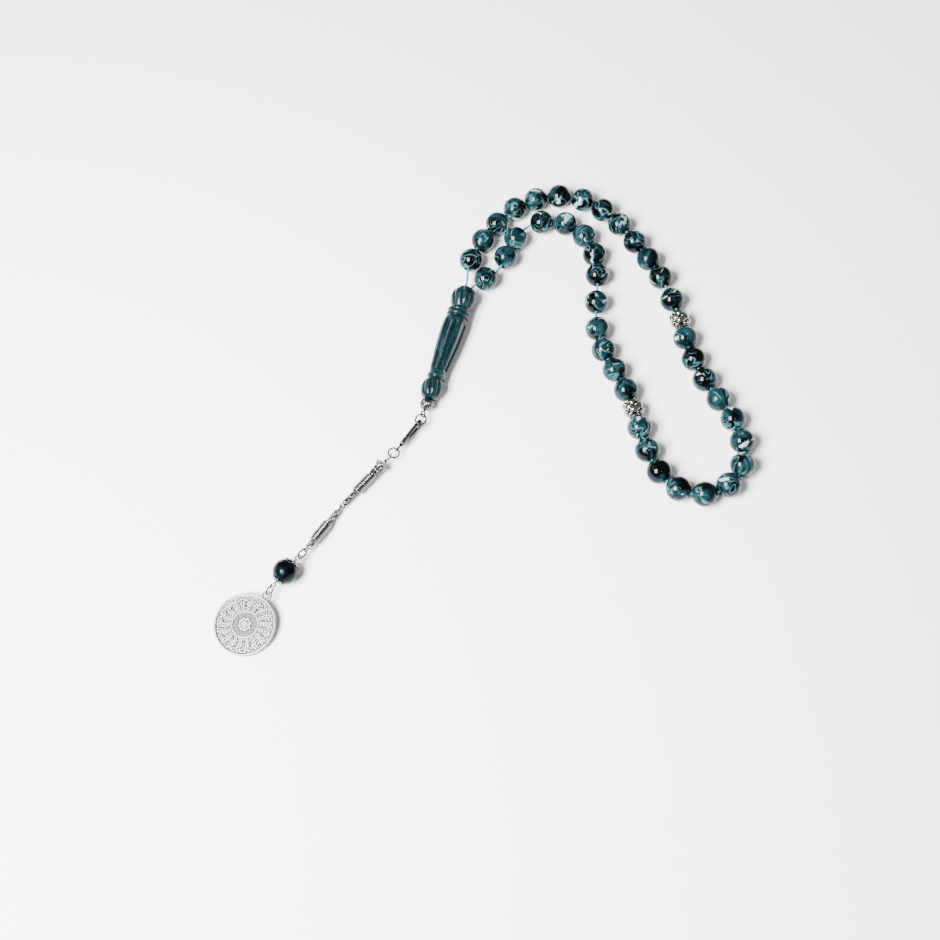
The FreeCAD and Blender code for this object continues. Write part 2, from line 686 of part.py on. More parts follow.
def chain_crown():
    """Flared crown cap with the long wire loop that it hangs from."""
    loop = long_loop(CROWN_LOOP_LENGTH, CROWN_LOOP_HALF_WIDTH, EYE_WIRE_RADIUS)
    start = CROWN_LOOP_LENGTH - CROWN_TUCK
    end = crown_end()
    cap = revolved(polygon_edges([
        (start, 0.0),
        (start, CROWN_FACE_RADIUS),
        (start + CROWN_BEVEL, CROWN_RADIUS),
        (start + CROWN_RIM_END, CROWN_RADIUS),
        (start + CROWN_RIM_END + CROWN_BEVEL, CROWN_SHOULDER_RADIUS),
        (end, CROWN_NECK_RADIUS),
        (end, 0.0),
    ]))
    notch = rod(start + CROWN_NOTCH_START, end + OVERCUT, CROWN_NOTCH_RADIUS)
    notch.translate(Vector(0, CROWN_NECK_RADIUS + CROWN_NOTCH_RADIUS, 0))
    cap = cap.cut(turned_copies(notch, CROWN_NOTCHES))
    return cap.fuse(loop)


def crown_end():
    """Station where the crown ends and the chain begins."""
    return CROWN_LOOP_LENGTH - CROWN_TUCK + CROWN_LENGTH


def sleeve(start, turns):
    """Close-wound coil sleeve: one rounded ridge for each turn of the wire."""
    pitch = SLEEVE_TURN_PITCH
    wire_radius = pitch / 2
    ridge_base = SLEEVE_OUTER_RADIUS - wire_radius
    edges = []
    for turn in range(turns):
        left = Vector(start + turn * pitch, ridge_base, 0)
        crest = Vector(start + (turn + 0.5) * pitch, SLEEVE_OUTER_RADIUS, 0)
        right = Vector(start + (turn + 1) * pitch, ridge_base, 0)
        edges.append(Part.Arc(left, crest, right).toShape())
    end = start + turns * pitch
    corners = [
        Vector(end, ridge_base, 0),
        Vector(end, SLEEVE_INNER_RADIUS, 0),
        Vector(start, SLEEVE_INNER_RADIUS, 0),
        Vector(start, ridge_base, 0),
    ]
    return revolved(edges + line_edges(corners))


def chain(start, links):
    """Woven chain as a bar with one swelling for each link."""
    edges = []
    for index in range(links):
        left = Vector(start + index * CHAIN_PITCH, CHAIN_WAIST_RADIUS, 0)
        crest = Vector(start + (index + 0.5) * CHAIN_PITCH, CHAIN_RADIUS, 0)
        right = Vector(start + (index + 1) * CHAIN_PITCH, CHAIN_WAIST_RADIUS, 0)
        edges.append(Part.Arc(left, crest, right).toShape())
    end = start + links * CHAIN_PITCH
    corners = [
        Vector(end, CHAIN_WAIST_RADIUS, 0),
        Vector(end, 0, 0),
        Vector(start, 0, 0),
        Vector(start, CHAIN_WAIST_RADIUS, 0),
    ]
    bar = revolved(edges + line_edges(corners))
    bar.rotate(Vector(0, 0, 0), ALONG_X, CHAIN_SEAM_TURN)
    return bar


def chain_eye(centre_x, roll):
    """End link of the chain, turned about the chain by the given roll."""
    eye = ring(centre_x, CHAIN_EYE_RADIUS, CHAIN_EYE_WIRE)
    eye.rotate(Vector(0, 0, 0), ALONG_X, roll)
    return eye


def chain_upper():
    """Upper half of the chain; its last link lies flat."""
    bar = chain(crown_end(), UPPER_CHAIN_LINKS)
    flat_roll = -LINK_ANGLES["chain_upper"][2]
    return bar.fuse(chain_eye(upper_chain_reach() - CHAIN_EYE_RADIUS, flat_roll))


def upper_chain_reach():
    """From the crown's loop to the far wire of the upper half's last link."""
    return crown_end() + UPPER_CHAIN_LINKS * CHAIN_PITCH + 2 * CHAIN_EYE_RADIUS


def lower_bar_start():
    """Station where the lower half's woven bar begins, past its first link."""
    return 2 * CHAIN_EYE_RADIUS


def lower_bar_end():
    """Station where the lower half's woven bar ends."""
    return lower_bar_start() + LOWER_CHAIN_LINKS * CHAIN_PITCH


def chain_lower():
    """Lower half of the chain: an upright first link, the bar and a last link."""
    bar = chain(lower_bar_start(), LOWER_CHAIN_LINKS)
    upright_roll = 90 - LINK_ANGLES["chain_lower"][2]
    first = chain_eye(CHAIN_EYE_RADIUS, upright_roll)
    last = chain_eye(lower_bar_end() + CHAIN_EYE_RADIUS, 0.0)
    return bar.fuse([first, last])


def drop_cap(spread):
    """Pierced cap that covers one end of the drop bead, opening towards -X."""
    inner = DROP_BEAD_RADIUS + DROP_CAP_GAP
    outer = inner + DROP_CAP_THICKNESS
    shell = Part.makeSphere(outer).cut(Part.makeSphere(inner))
    rim = outer * math.cos(math.radians(spread))
    cap = shell.common(rod(rim, outer + OVERCUT, outer + OVERCUT))
    angle = math.radians(spread * DROP_CAP_HOLE_SHARE)
    outward = Vector(math.cos(angle), math.sin(angle), 0)
    hole_length = DROP_CAP_THICKNESS + 2 * OVERCUT
    hole = Part.makeCylinder(DROP_CAP_HOLE_RADIUS, hole_length, outward * (inner - OVERCUT), outward)
    cap = cap.cut(turned_copies(hole, DROP_CAP_HOLES))
    return cap.cut(rod(0, outer + OVERCUT, DROP_PIN_RADIUS + PIN_CLEARANCE))


def drop_half_length():
    """From the drop bead's centre to the centre line of either eye's far wire."""
    cap_outside = DROP_BEAD_RADIUS + DROP_CAP_GAP + DROP_CAP_THICKNESS
    return cap_outside + DROP_EYE_STEM + EYE_WIRE_RADIUS + 2 * DROP_EYE_RADIUS


def drop_pin_and_caps():
    """Eye pin through the drop bead and the two caps, centred on the bead."""
    reach = drop_half_length()
    shaft = rod(-reach + 2 * DROP_EYE_RADIUS, reach - 2 * DROP_EYE_RADIUS, DROP_PIN_RADIUS)
    eye_centre = reach - DROP_EYE_RADIUS
    eyes = [ring(station, DROP_EYE_RADIUS, EYE_WIRE_RADIUS) for station in (-eye_centre, eye_centre)]
    lower_cap = drop_cap(DROP_CAP_SPREADS["lower"])
    upper_cap = drop_cap(DROP_CAP_SPREADS["upper"])
    upper_cap.rotate(Vector(0, 0, 0), Vector(0, 0, 1), 180)
    return Part.makeCompound([shaft.fuse(eyes), upper_cap, lower_cap])


def star_plate(radius, thickness):
    """Eight-pointed star: two squares turned by an eighth of a turn."""
    side = radius * math.sqrt(2)
    square = Part.makeBox(side, side, thickness, Vector(-side / 2, -side / 2, 0))
    turned = square.copy()
    turned.rotate(Vector(0, 0, 0), Vector(0, 0, 1), 45)
    return square.fuse(turned)


def medallion():
    """Round medallion with bail, raised rim, roundel ring and eight-pointed star."""
    half = MEDALLION_THICKNESS / 2
    up = Vector(0, 0, 1)
    bail = Part.makeTorus(BAIL_RADIUS, BAIL_WIRE_RADIUS, Vector(BAIL_RADIUS, 0, 0))
    centre = Vector(medallion_centre(), 0, 0)
    disc = Part.makeCylinder(MEDALLION_RADIUS, MEDALLION_THICKNESS, centre - up * half)
    field_floor = centre + up * (half - MEDALLION_RECESS)
    recess = Part.makeCylinder(MEDALLION_RADIUS - MEDALLION_RIM, MEDALLION_THICKNESS, field_floor)
    roundel = Part.makeCylinder(MEDALLION_ROUNDEL_RADIUS, MEDALLION_RECESS, field_floor)
    inner_radius = MEDALLION_ROUNDEL_RADIUS - MEDALLION_ROUNDEL_WALL
    roundel = roundel.cut(Part.makeCylinder(inner_radius, MEDALLION_RECESS, field_floor))
    star = star_plate(MEDALLION_STAR_RADIUS, MEDALLION_RECESS)
    star.translate(field_floor)
    return disc.cut(recess).fuse([roundel, star, bail])


def medallion_centre():
    """Station of the disc's centre, with the bail's near wire at the origin."""
    return 2 * BAIL_RADIUS + BAIL_WIRE_RADIUS - BAIL_OVERLAP + MEDALLION_RADIUS


# ---- hanging the links on one another ---------------------------------------
def turned_frame(base, name):
    """Frame of a link at a point, turned by the link's own angles."""
    heading, pitch, roll = LINK_ANGLES[name]
    return Placement(base, Rotation(heading, pitch, roll))


def hung_frame(name, far_wire, wire_radii):
    """Frame of a link whose near wire passes behind the last link's far wire."""
    frame = turned_frame(far_wire, name)
    step_back = sum(wire_radii) + LINK_CLEARANCE
    return turned_frame(frame.multVec(Vector(-step_back, 0, 0)), name)


def at(frame, distance):
    """The point at a distance along the frame's X axis."""
    return frame.multVec(Vector(distance, 0, 0))


# Leader: it rests on its two balls.
ball_drop = LEADER_TOP_BALL_RADIUS - LEADER_END_BALL_RADIUS
ball_span = LEADER_LENGTH - LEADER_TOP_BALL_RADIUS - LEADER_END_BALL_LENGTH / 2
leader_pitch = math.degrees(math.asin(ball_drop / ball_span))
leader_height = LEADER_TOP_BALL_RADIUS * (1 + math.sin(math.radians(leader_pitch)))
leader_base = LEADER_TIP + Vector(0, 0, leader_height + LEADER_REST_CLEARANCE)
leader_frame = Placement(leader_base, Rotation(LEADER_HEADING, leader_pitch, 0))
eye_frame = Placement(leader_base, Rotation(LEADER_HEADING, leader_pitch, LEADER_EYE_ROLL))

# Cord and the pieces strung on it.
route = cord_route()
cord_wire, cord_radii = rounded_wire(route)
cord = cord_solid(cord_wire, route[0], route[1] - route[0])
strung = strung_frames(cord_wire)
cord_floor = LEADER_TIP + leader_direction() * LEADER_CORD_BORE_DEPTH
cord_floor.z = CORD_HEIGHT

# Tassel links, from the leader's eye to the medallion.
leader_eye_far = at(eye_frame, leader_eye_centre() + LEADER_EYE_RADIUS)
frames = {}
frames["upper_ring"] = hung_frame("upper_ring", leader_eye_far, (EYE_WIRE_RADIUS, RING_WIRE_RADIUS))
upper_ring_far = at(frames["upper_ring"], 2 * UPPER_RING_RADIUS)
claw_nose = CLASP_HOLE_FRONT_CENTRE - CLASP_HOLE_FRONT_RADIUS + CLASP_NOSE_CLEARANCE
frames["clasp"] = hung_frame("clasp", upper_ring_far, (RING_WIRE_RADIUS, claw_nose))
frames["swivel"] = turned_frame(frames["clasp"].Base, "swivel")
swivel_far = at(frames["swivel"], swivel_eye_centre() + SWIVEL_EYE_RADIUS)
frames["lower_ring"] = hung_frame("lower_ring", swivel_far, (EYE_WIRE_RADIUS, RING_WIRE_RADIUS))
lower_ring_far = at(frames["lower_ring"], 2 * LOWER_RING_RADIUS)
frames["chain_upper"] = hung_frame("chain_upper", lower_ring_far, (RING_WIRE_RADIUS, EYE_WIRE_RADIUS))
chain_middle = at(frames["chain_upper"], upper_chain_reach())
frames["chain_lower"] = hung_frame("chain_lower", chain_middle, (CHAIN_EYE_WIRE, CHAIN_EYE_WIRE))
chain_far = at(frames["chain_lower"], lower_bar_end() + 2 * CHAIN_EYE_RADIUS)
frames["oval_link"] = hung_frame("oval_link", chain_far, (CHAIN_EYE_WIRE, OVAL_WIRE_RADIUS))
oval_length = OVAL_STRAIGHT + 2 * OVAL_END_RADIUS
oval_far = at(frames["oval_link"], oval_length)
drop_near = hung_frame("drop", oval_far, (OVAL_WIRE_RADIUS, EYE_WIRE_RADIUS))
frames["drop"] = turned_frame(at(drop_near, drop_half_length()), "drop")
drop_far = at(frames["drop"], drop_half_length())
ring_radii = (EYE_WIRE_RADIUS, MEDALLION_RING_WIRE)
frames["medallion_ring"] = hung_frame("medallion_ring", drop_far, ring_radii)
medallion_ring_far = at(frames["medallion_ring"], 2 * MEDALLION_RING_RADIUS)
frames["medallion"] = hung_frame("medallion", medallion_ring_far, (MEDALLION_RING_WIRE, BAIL_WIRE_RADIUS))

# ---- the pieces, one file each ----------------------------------------------
os.makedirs("parts", exist_ok=True)

round_bead = bead(BEAD_RADIUS, BEAD_BORE_RADIUS)
metal_separator = separator()
for piece_name, piece_frame in strung.items():
    shape = round_bead if piece_name.startswith("bead") else metal_separator
    export(piece_name, placed(shape, piece_frame))

upper_sleeve_start = crown_end() + UPPER_SLEEVE_GAP
lower_sleeve_start = lower_bar_end() - LOWER_SLEEVE_TAIL - LOWER_SLEEVE_TURNS * SLEEVE_TURN_PITCH
pieces = {
    "cord": cord,
    "imame": leader(leader_frame, cord_floor),
    "imame_cap_bead": placed(cap_bead(), leader_frame),
    "imame_eye_pin": placed(leader_pin(), eye_frame),
    "upper_jump_ring": placed(jump_ring(UPPER_RING_RADIUS), frames["upper_ring"]),
    "clasp_body": placed(clasp_body(), frames["clasp"]),
    "clasp_lever": placed(clasp_lever(), frames["clasp"]),
    "clasp_swivel": placed(clasp_swivel(), frames["swivel"]),
    "lower_jump_ring": placed(jump_ring(LOWER_RING_RADIUS), frames["lower_ring"]),
    "chain_crown": placed(chain_crown(), frames["chain_upper"]),
    "chain_upper": placed(chain_upper(), frames["chain_upper"]),
    "coil_sleeve_upper": placed(sleeve(upper_sleeve_start, UPPER_SLEEVE_TURNS), frames["chain_upper"]),
    "chain_lower": placed(chain_lower(), frames["chain_lower"]),
    "coil_sleeve_lower": placed(sleeve(lower_sleeve_start, LOWER_SLEEVE_TURNS), frames["chain_lower"]),
    "oval_link": placed(long_loop(oval_length, OVAL_END_RADIUS, OVAL_WIRE_RADIUS), frames["oval_link"]),
    "drop_bead": placed(bead(DROP_BEAD_RADIUS, DROP_BORE_RADIUS), frames["drop"]),
    "drop_bead_pin_and_caps": placed(drop_pin_and_caps(), frames["drop"]),
    "medallion_ring": placed(
        ring(MEDALLION_RING_RADIUS, MEDALLION_RING_RADIUS, MEDALLION_RING_WIRE), frames["medallion_ring"]
    ),
    "medallion": placed(medallion(), frames["medallion"]),
}
for piece_name, piece in pieces.items():
    export(piece_name, piece)

print("cord length %.1f mm, least bend radius %.1f mm" % (cord_wire.Length, min(cord_radii)))
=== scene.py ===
import json
import math

import bpy
import numpy as np
from mathutils import Matrix, Vector


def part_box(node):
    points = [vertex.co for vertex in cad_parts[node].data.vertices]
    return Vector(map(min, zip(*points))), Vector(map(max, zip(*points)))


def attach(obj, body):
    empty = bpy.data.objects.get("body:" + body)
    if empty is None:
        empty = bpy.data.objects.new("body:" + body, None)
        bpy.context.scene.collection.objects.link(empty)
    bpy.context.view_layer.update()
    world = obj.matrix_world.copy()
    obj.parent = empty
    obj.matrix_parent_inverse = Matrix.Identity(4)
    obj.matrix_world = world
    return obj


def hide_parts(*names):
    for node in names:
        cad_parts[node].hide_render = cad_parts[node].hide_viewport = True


# Misbaha prayer beads on a pale floor. Lengths are in millimetres unless a name ends
# in _M, and MM turns them into the metres that Blender and the frame use. A piece is
# drawn along its own +X axis. Strung and hanging pieces are then put where the packed
# model has their joint. The cord and the leader lie where their route and tip say.
MM = 0.001
TAU = 2 * math.pi

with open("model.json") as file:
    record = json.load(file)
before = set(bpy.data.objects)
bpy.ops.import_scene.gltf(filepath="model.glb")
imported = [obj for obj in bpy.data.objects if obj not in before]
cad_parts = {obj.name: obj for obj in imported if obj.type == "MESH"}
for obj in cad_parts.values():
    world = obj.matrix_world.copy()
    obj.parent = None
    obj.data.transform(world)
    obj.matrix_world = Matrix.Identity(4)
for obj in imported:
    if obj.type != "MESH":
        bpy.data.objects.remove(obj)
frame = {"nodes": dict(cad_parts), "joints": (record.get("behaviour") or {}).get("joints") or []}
nodes = frame["nodes"]
joints = {joint["name"]: joint for joint in frame["joints"]}
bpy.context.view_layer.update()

# ---- camera, lights and floor ------------------------------------------------
CAMERA_AT_M = Vector((-2.5, -243.0, 475.0)) * MM
CAMERA_DIP = math.radians(66.0)
CAMERA_ROLL = math.radians(-10.0)
CAMERA_LENS = 49.8
CAMERA_SENSOR = 36.0
CAMERA_REACH_M = (0.01, 20.0)

LIGHT_TARGET_M = Vector((0.0, 0.0, 0.005))
WINDOW_DISTANCE_M = 0.7
WINDOW_SWING = math.radians(31.0)
WINDOW_PANE_M = (0.13, 0.115)
WINDOW_PITCH_M = (0.155, 0.14)
WINDOW_POWER = 6.0
WINDOW_COLOUR = (1.0, 0.99, 0.97)
LAMP_SWING = math.radians(15.0)
LAMP_DROP = 0.05
LAMP_SIZE_M = (0.03,)
LAMP_POWER = 0.5
LAMP_COLOUR = (1, 1, 1)
FILL_AT_M = Vector((-0.75, 0.45, 0.55))
FILL_SIZE_M = (0.6, 0.6)
FILL_POWER = 2.0
FILL_COLOUR = (0.96, 0.98, 1.0)
WORLD_STRENGTH = 0.36
WORLD_COLOUR = (0.93, 0.96, 1.0, 1.0)

FLOOR_HALF_SIZE_M = 3.0
FLOOR_COLOUR = (0.93, 0.935, 0.94, 1)
FLOOR_ROUGHNESS = 0.75


def camera_axes():
    """Right, up and forward of the camera, from its dip and roll."""
    forward = Vector((0, math.cos(CAMERA_DIP), -math.sin(CAMERA_DIP)))
    level_up = Vector((0, math.sin(CAMERA_DIP), math.cos(CAMERA_DIP)))
    level_right = Vector((1, 0, 0))
    cosine = math.cos(CAMERA_ROLL)
    sine = math.sin(CAMERA_ROLL)
    right = level_right * cosine + level_up * sine
    up = level_up * cosine - level_right * sine
    return right, up, forward


def make_camera():
    data = bpy.data.cameras.new("camera")
    data.lens = CAMERA_LENS
    data.sensor_width = CAMERA_SENSOR
    data.clip_start, data.clip_end = CAMERA_REACH_M
    camera = bpy.data.objects.new("camera", data)
    right, up, forward = camera_axes()
    turn = Matrix((right, up, -forward)).transposed().to_4x4()
    camera.matrix_world = Matrix.Translation(CAMERA_AT_M) @ turn
    bpy.context.scene.collection.objects.link(camera)
    bpy.context.scene.camera = camera


def area_light(name, position, size, power, colour, shape="RECTANGLE"):
    """Area light aimed at the string; its position and size are in metres."""
    data = bpy.data.lights.new(name, "AREA")
    data.shape = shape
    data.size = size[0]
    if shape == "RECTANGLE":
        data.size_y = size[1]
    data.energy = power
    data.color = colour
    light = bpy.data.objects.new(name, data)
    light.location = position
    light.rotation_euler = (LIGHT_TARGET_M - position).to_track_quat("-Z", "Y").to_euler()
    bpy.context.scene.collection.objects.link(light)


def make_lights():
    """A window of six panes on the left, a small lamp near the camera and a soft fill."""
    right, up, forward = camera_axes()
    toward = -forward
    window_way = toward * math.cos(WINDOW_SWING) - right * math.sin(WINDOW_SWING)
    centre = LIGHT_TARGET_M + window_way * WINDOW_DISTANCE_M
    across = window_way.cross(up).normalized()
    upward = across.cross(window_way).normalized()
    for column in (-0.5, 0.5):
        for row in (-1, 0, 1):
            offset = across * column * WINDOW_PITCH_M[0] + upward * row * WINDOW_PITCH_M[1]
            pane_name = "window_pane_%d_%d" % (column * 2, row)
            area_light(pane_name, centre + offset, WINDOW_PANE_M, WINDOW_POWER, WINDOW_COLOUR)
    lamp_way = toward * math.cos(LAMP_SWING) + right * math.sin(LAMP_SWING) - up * LAMP_DROP
    lamp_at = LIGHT_TARGET_M + lamp_way * WINDOW_DISTANCE_M
    area_light("lamp", lamp_at, LAMP_SIZE_M, LAMP_POWER, LAMP_COLOUR, "DISK")
    area_light("fill", FILL_AT_M, FILL_SIZE_M, FILL_POWER, FILL_COLOUR)
    world = bpy.data.worlds.new("studio")
    world.use_nodes = True
    background = world.node_tree.nodes["Background"]
    background.inputs["Color"].default_value = WORLD_COLOUR
    background.inputs["Strength"].default_value = WORLD_STRENGTH
    bpy.context.scene.world = world


def make_floor():
    size = FLOOR_HALF_SIZE_M
    corners = [(-size, -size, 0), (size, -size, 0), (size, size, 0), (-size, size, 0)]
    mesh = bpy.data.meshes.new("floor")
    mesh.from_pydata(corners, [], [(0, 1, 2, 3)])
    floor = bpy.data.objects.new("floor", mesh)
    bpy.context.scene.collection.objects.link(floor)
    material = bpy.data.materials.new("floor")
    material.use_nodes = True
    shader = material.node_tree.nodes["Principled BSDF"]
    shader.inputs["Base Color"].default_value = FLOOR_COLOUR
    shader.inputs["Roughness"].default_value = FLOOR_ROUGHNESS
    mesh.materials.append(material)


# ---- material helpers --------------------------------------------------------
class Graph:
    """Short names for building one node material."""

    def __init__(self, name):
        self.material = bpy.data.materials.new(name)
        self.material.use_nodes = True
        self.tree = self.material.node_tree
        self.shader = self.tree.nodes["Principled BSDF"]

    def node(self, kind, inputs=None, **settings):
        made = self.tree.nodes.new("ShaderNode" + kind)
        for key, value in settings.items():
            setattr(made, key, value)
        for key, value in (inputs or {}).items():
            self.feed(made.inputs[key], value)
        return made

    def feed(self, socket, value):
        if isinstance(value, bpy.types.NodeSocket):
            self.tree.links.new(value, socket)
        else:
            socket.default_value = value

    def scaled(self, vector, factor):
        made = self.node("VectorMath", {0: vector}, operation="SCALE")
        made.inputs["Scale"].default_value = factor
        return made.outputs[0]

    def stretched(self, vector, factors):
        made = self.node("VectorMath", {0: vector, 1: factors}, operation="MULTIPLY")
        return made.outputs[0]

    def place(self):
        """Position in the piece's own space, in millimetres."""
        return self.scaled(self.node("TexCoord").outputs["Object"], 1 / MM)

    def noise(self, vector, scale, detail=3.0, roughness=0.5, distortion=0.0):
        inputs = {
            "Vector": vector,
            "Scale": scale,
            "Detail": detail,
            "Roughness": roughness,
            "Distortion": distortion,
        }
        return self.node("TexNoise", inputs)

    def cloud(self, *arguments):
        """Noise as one value from 0 to 1, with the arguments of noise()."""
        return self.noise(*arguments).outputs["Fac"]

    def cavity(self):
        """The mesh's own cavity value, 1 in its deepest recesses, where the painted shade is
        darkest.
        """
        return self.node("Attribute", attribute_name="cavity").outputs["Fac"]

    def ramp(self, factor, stops):
        made = self.node("ValToRGB", {"Fac": factor})
        elements = made.color_ramp.elements
        while len(elements) < len(stops):
            elements.new(0.5)
        for element, (position, colour) in zip(elements, stops):
            element.position = position
            element.color = (*colour, 1.0)
        return made.outputs["Color"]

    def greys(self, factor, *stops):
        """Ramp through greys, each stop a position and a value."""
        return self.ramp(factor, [(position, (value,) * 3) for position, value in stops])

    def math(self, operation, first, second=0.0, clamp=False):
        inputs = {0: first, 1: second}
        return self.node("Math", inputs, operation=operation, use_clamp=clamp).outputs[0]

    def mix(self, factor, first, second):
        """Mix of two colours; 6, 7 and 2 are the node's colour sockets."""
        return self.node("Mix", {0: factor, 6: first, 7: second}, data_type="RGBA").outputs[2]

    def warp(self, vector, scale, amount, detail=2.0):
        """The vector moved about by a slow noise, for swirls."""
        cloud = self.noise(vector, scale, detail).outputs["Color"]
        centred = self.node("VectorMath", {0: cloud, 1: (0.5, 0.5, 0.5)}, operation="SUBTRACT")
        shift = self.scaled(centred.outputs[0], amount)
        return self.node("VectorMath", {0: vector, 1: shift}, operation="ADD").outputs[0]

    def bump(self, height, strength, distance):
        inputs = {"Height": height, "Strength": strength, "Distance": distance * MM}
        self.feed(self.shader.inputs["Normal"], self.node("Bump", inputs).outputs["Normal"])

    def surface(self, **values):
        """Sets the shader's inputs; a socket feeds it, a number is set on it."""
        for name, value in values.items():
            self.feed(self.shader.inputs[name.replace("_", " ")], value)
        return self.material


# ---- materials ---------------------------------------------------------------
TEAL_NIGHT = (0.0001, 0.0005, 0.0009)
TEAL_DEEP = (0.0006, 0.0036, 0.0052)
TEAL_STREAK = (0.0018, 0.0082, 0.0108)
TEAL = (0.0019, 0.0092, 0.0125)
TEAL_SOFT = (0.0032, 0.0135, 0.017)
TEAL_BRIGHT = (0.0065, 0.028, 0.034)
CYAN_PALE = (0.055, 0.15, 0.165)
MILK = (0.3, 0.42, 0.42)
DROP_NIGHT = (0.0001, 0.0005, 0.0008)
DROP_DEEP = (0.0002, 0.002, 0.003)
DROP_TEAL = (0.0005, 0.01, 0.013)
CORD_SHADE = (0.001, 0.025, 0.05)
CORD_DARK = (0.006, 0.11, 0.17)
CORD_BLUE = (0.015, 0.22, 0.31)
CORD_LIGHT = (0.07, 0.36, 0.44)
RESIN_GLOW = {
    "Subsurface_Weight": 0.04,
    "Subsurface_Radius": (0.4, 0.9, 1.0),
    "Subsurface_Scale": 0.001,
}


def marbled_resin():
    """Poured resin: dark and teal clouds, long curved flow lines and milky patches."""
    graph = Graph("bead_resin")
    place = graph.place()
    swirled = graph.warp(place, 0.075, 13.0, 1.0)
    swirled = graph.warp(swirled, 0.21, 4.0, 1.0)

    clouds = graph.cloud(swirled, 0.15, 2.5, 0.5, 0.3)
    tint = graph.math("SUBTRACT", graph.cloud(place, 0.05, 1.0, 0.5), 0.5)
    shade = graph.math("ADD", clouds, graph.math("MULTIPLY", tint, 0.5))
    body = graph.ramp(shade, [
        (0.41, TEAL_NIGHT),
        (0.48, TEAL_DEEP),
        (0.54, TEAL),
        (0.63, TEAL_BRIGHT),
        (0.72, TEAL_DEEP),
    ])

    flow = graph.cloud(swirled, 0.12, 1.5, 0.4)
    wave = graph.math("SINE", graph.math("MULTIPLY", flow, 52.0))
    line = graph.greys(wave, (0.1, 0.0), (0.8, 0.22), (0.96, 1.0))
    shown = graph.greys(graph.cloud(place, 0.13, 2.0), (0.44, 0.0), (0.58, 1.0))
    line_share = graph.math("MULTIPLY", graph.math("MULTIPLY", line, shown), 0.75)
    colour = graph.mix(line_share, body, (*CYAN_PALE, 1))

    milk_cloud = graph.cloud(swirled, 0.17, 2.5, 0.55, 0.6)
    milk_mask = graph.greys(milk_cloud, (0.615, 0.0), (0.66, 0.9))
    colour = graph.mix(milk_mask, colour, (*MILK, 1))

    polish = graph.greys(graph.cloud(place, 3.0, 3.0), (0.3, 0.07), (0.7, 0.14))
    graph.bump(graph.cloud(place, 0.7, 2.0), 0.12, 0.05)
    return graph.surface(Base_Color=colour, Roughness=polish, IOR=1.26, **RESIN_GLOW)


def leader_resin():
    """The leader's calmer resin: teal with long dark and light streaks along it, and painted shade
    in its recesses.
    """
    graph = Graph("leader_resin")
    place = graph.place()
    turned = graph.node("VectorRotate", {"Vector": place, "Angle": math.radians(-LEADER_HEADING)})
    turned.rotation_type = "Z_AXIS"
    swirled = graph.warp(graph.stretched(turned.outputs[0], (0.2, 1.0, 1.0)), 0.3, 2.2)
    body = graph.ramp(graph.cloud(swirled, 0.6, 4.0, 0.55, 0.5), [
        (0.3, TEAL_DEEP),
        (0.42, TEAL_STREAK),
        (0.57, TEAL_SOFT),
        (0.7, TEAL_BRIGHT),
    ])
    flow = graph.cloud(swirled, 0.5, 1.5, 0.4)
    wave = graph.math("SINE", graph.math("MULTIPLY", flow, 45.0))
    line = graph.greys(wave, (0.95, 0.0), (0.995, 0.25))
    colour = graph.mix(line, body, (*CYAN_PALE, 1))
    # Painted shade: the cavity value darkens the gore grooves, flute valleys and waists to
    # near-black teal.
    colour = graph.mix(graph.math("MULTIPLY", graph.cavity(), 0.85), colour, (*TEAL_NIGHT, 1))
    polish = graph.greys(graph.cloud(place, 2.0, 3.0), (0.3, 0.12), (0.7, 0.22))
    graph.bump(graph.cloud(place, 1.4, 3.0), 0.15, 0.06)
    return graph.surface(Base_Color=colour, Roughness=polish, IOR=1.28, **RESIN_GLOW)


def drop_resin():
    """Almost black resin with a few deep teal clouds."""
    graph = Graph("drop_resin")
    place = graph.place()
    swirled = graph.warp(place, 0.3, 3.0)
    body = graph.ramp(graph.cloud(swirled, 0.35, 4.0, 0.6, 0.8), [
        (0.42, DROP_NIGHT),
        (0.56, DROP_DEEP),
        (0.68, DROP_TEAL),
        (0.78, TEAL_BRIGHT),
    ])
    polish = graph.greys(graph.cloud(place, 2.0, 3.0), (0.3, 0.1), (0.7, 0.2))
    graph.bump(graph.cloud(place, 1.0, 2.0), 0.1, 0.05)
    return graph.surface(Base_Color=body, Roughness=polish, IOR=1.2)


def cord_fabric():
    """Bright braided cord: fine fibres over the braid's own relief."""
    graph = Graph("cord_fabric")
    fibres = graph.cloud(graph.place(), 9.0, 3.0, 0.6)
    colour = graph.ramp(fibres, [(0.3, CORD_DARK), (0.55, CORD_BLUE), (0.75, CORD_LIGHT)])
    colour = graph.mix(graph.math("MULTIPLY", graph.cavity(), 0.7), colour, (*CORD_SHADE, 1))
    polish = graph.greys(fibres, (0.3, 0.6), (0.7, 0.8))
    graph.bump(fibres, 0.4, 0.04)
    return graph.surface(Base_Color=colour, Roughness=polish, Sheen_Weight=0.4, Sheen_Roughness=0.4)


def metal(name, bright, dark, smooth, rough, grain=2.5, relief=0.2, cavity_share=1.0):
    """Silver-coloured metal with painted shade in its recesses, uneven polish and fine scratches."""
    graph = Graph(name)
    place = graph.place()
    worn = [0.82 * part for part in bright]
    colour = graph.ramp(graph.cloud(place, 0.8, 4.0, 0.6), [(0.3, worn), (0.65, bright)])
    # Painted shade: the cavity value darkens the recesses towards the dark colour.
    recess = graph.math("MULTIPLY", graph.cavity(), cavity_share, True)
    colour = graph.mix(recess, colour, (*dark, 1))
    scratches = graph.cloud(graph.stretched(place, (1.0, 6.0, 2.0)), grain, 4.0, 0.65)
    polish = graph.greys(scratches, (0.3, smooth), (0.7, rough))
    graph.bump(scratches, relief, 0.03)
    return graph.surface(Base_Color=colour, Roughness=polish, Metallic=1.0)


# ---- mesh helpers ------------------------------------------------------------
def turns(columns):
    """Angles of evenly spaced columns once round."""
    return np.arange(columns) * TAU / columns


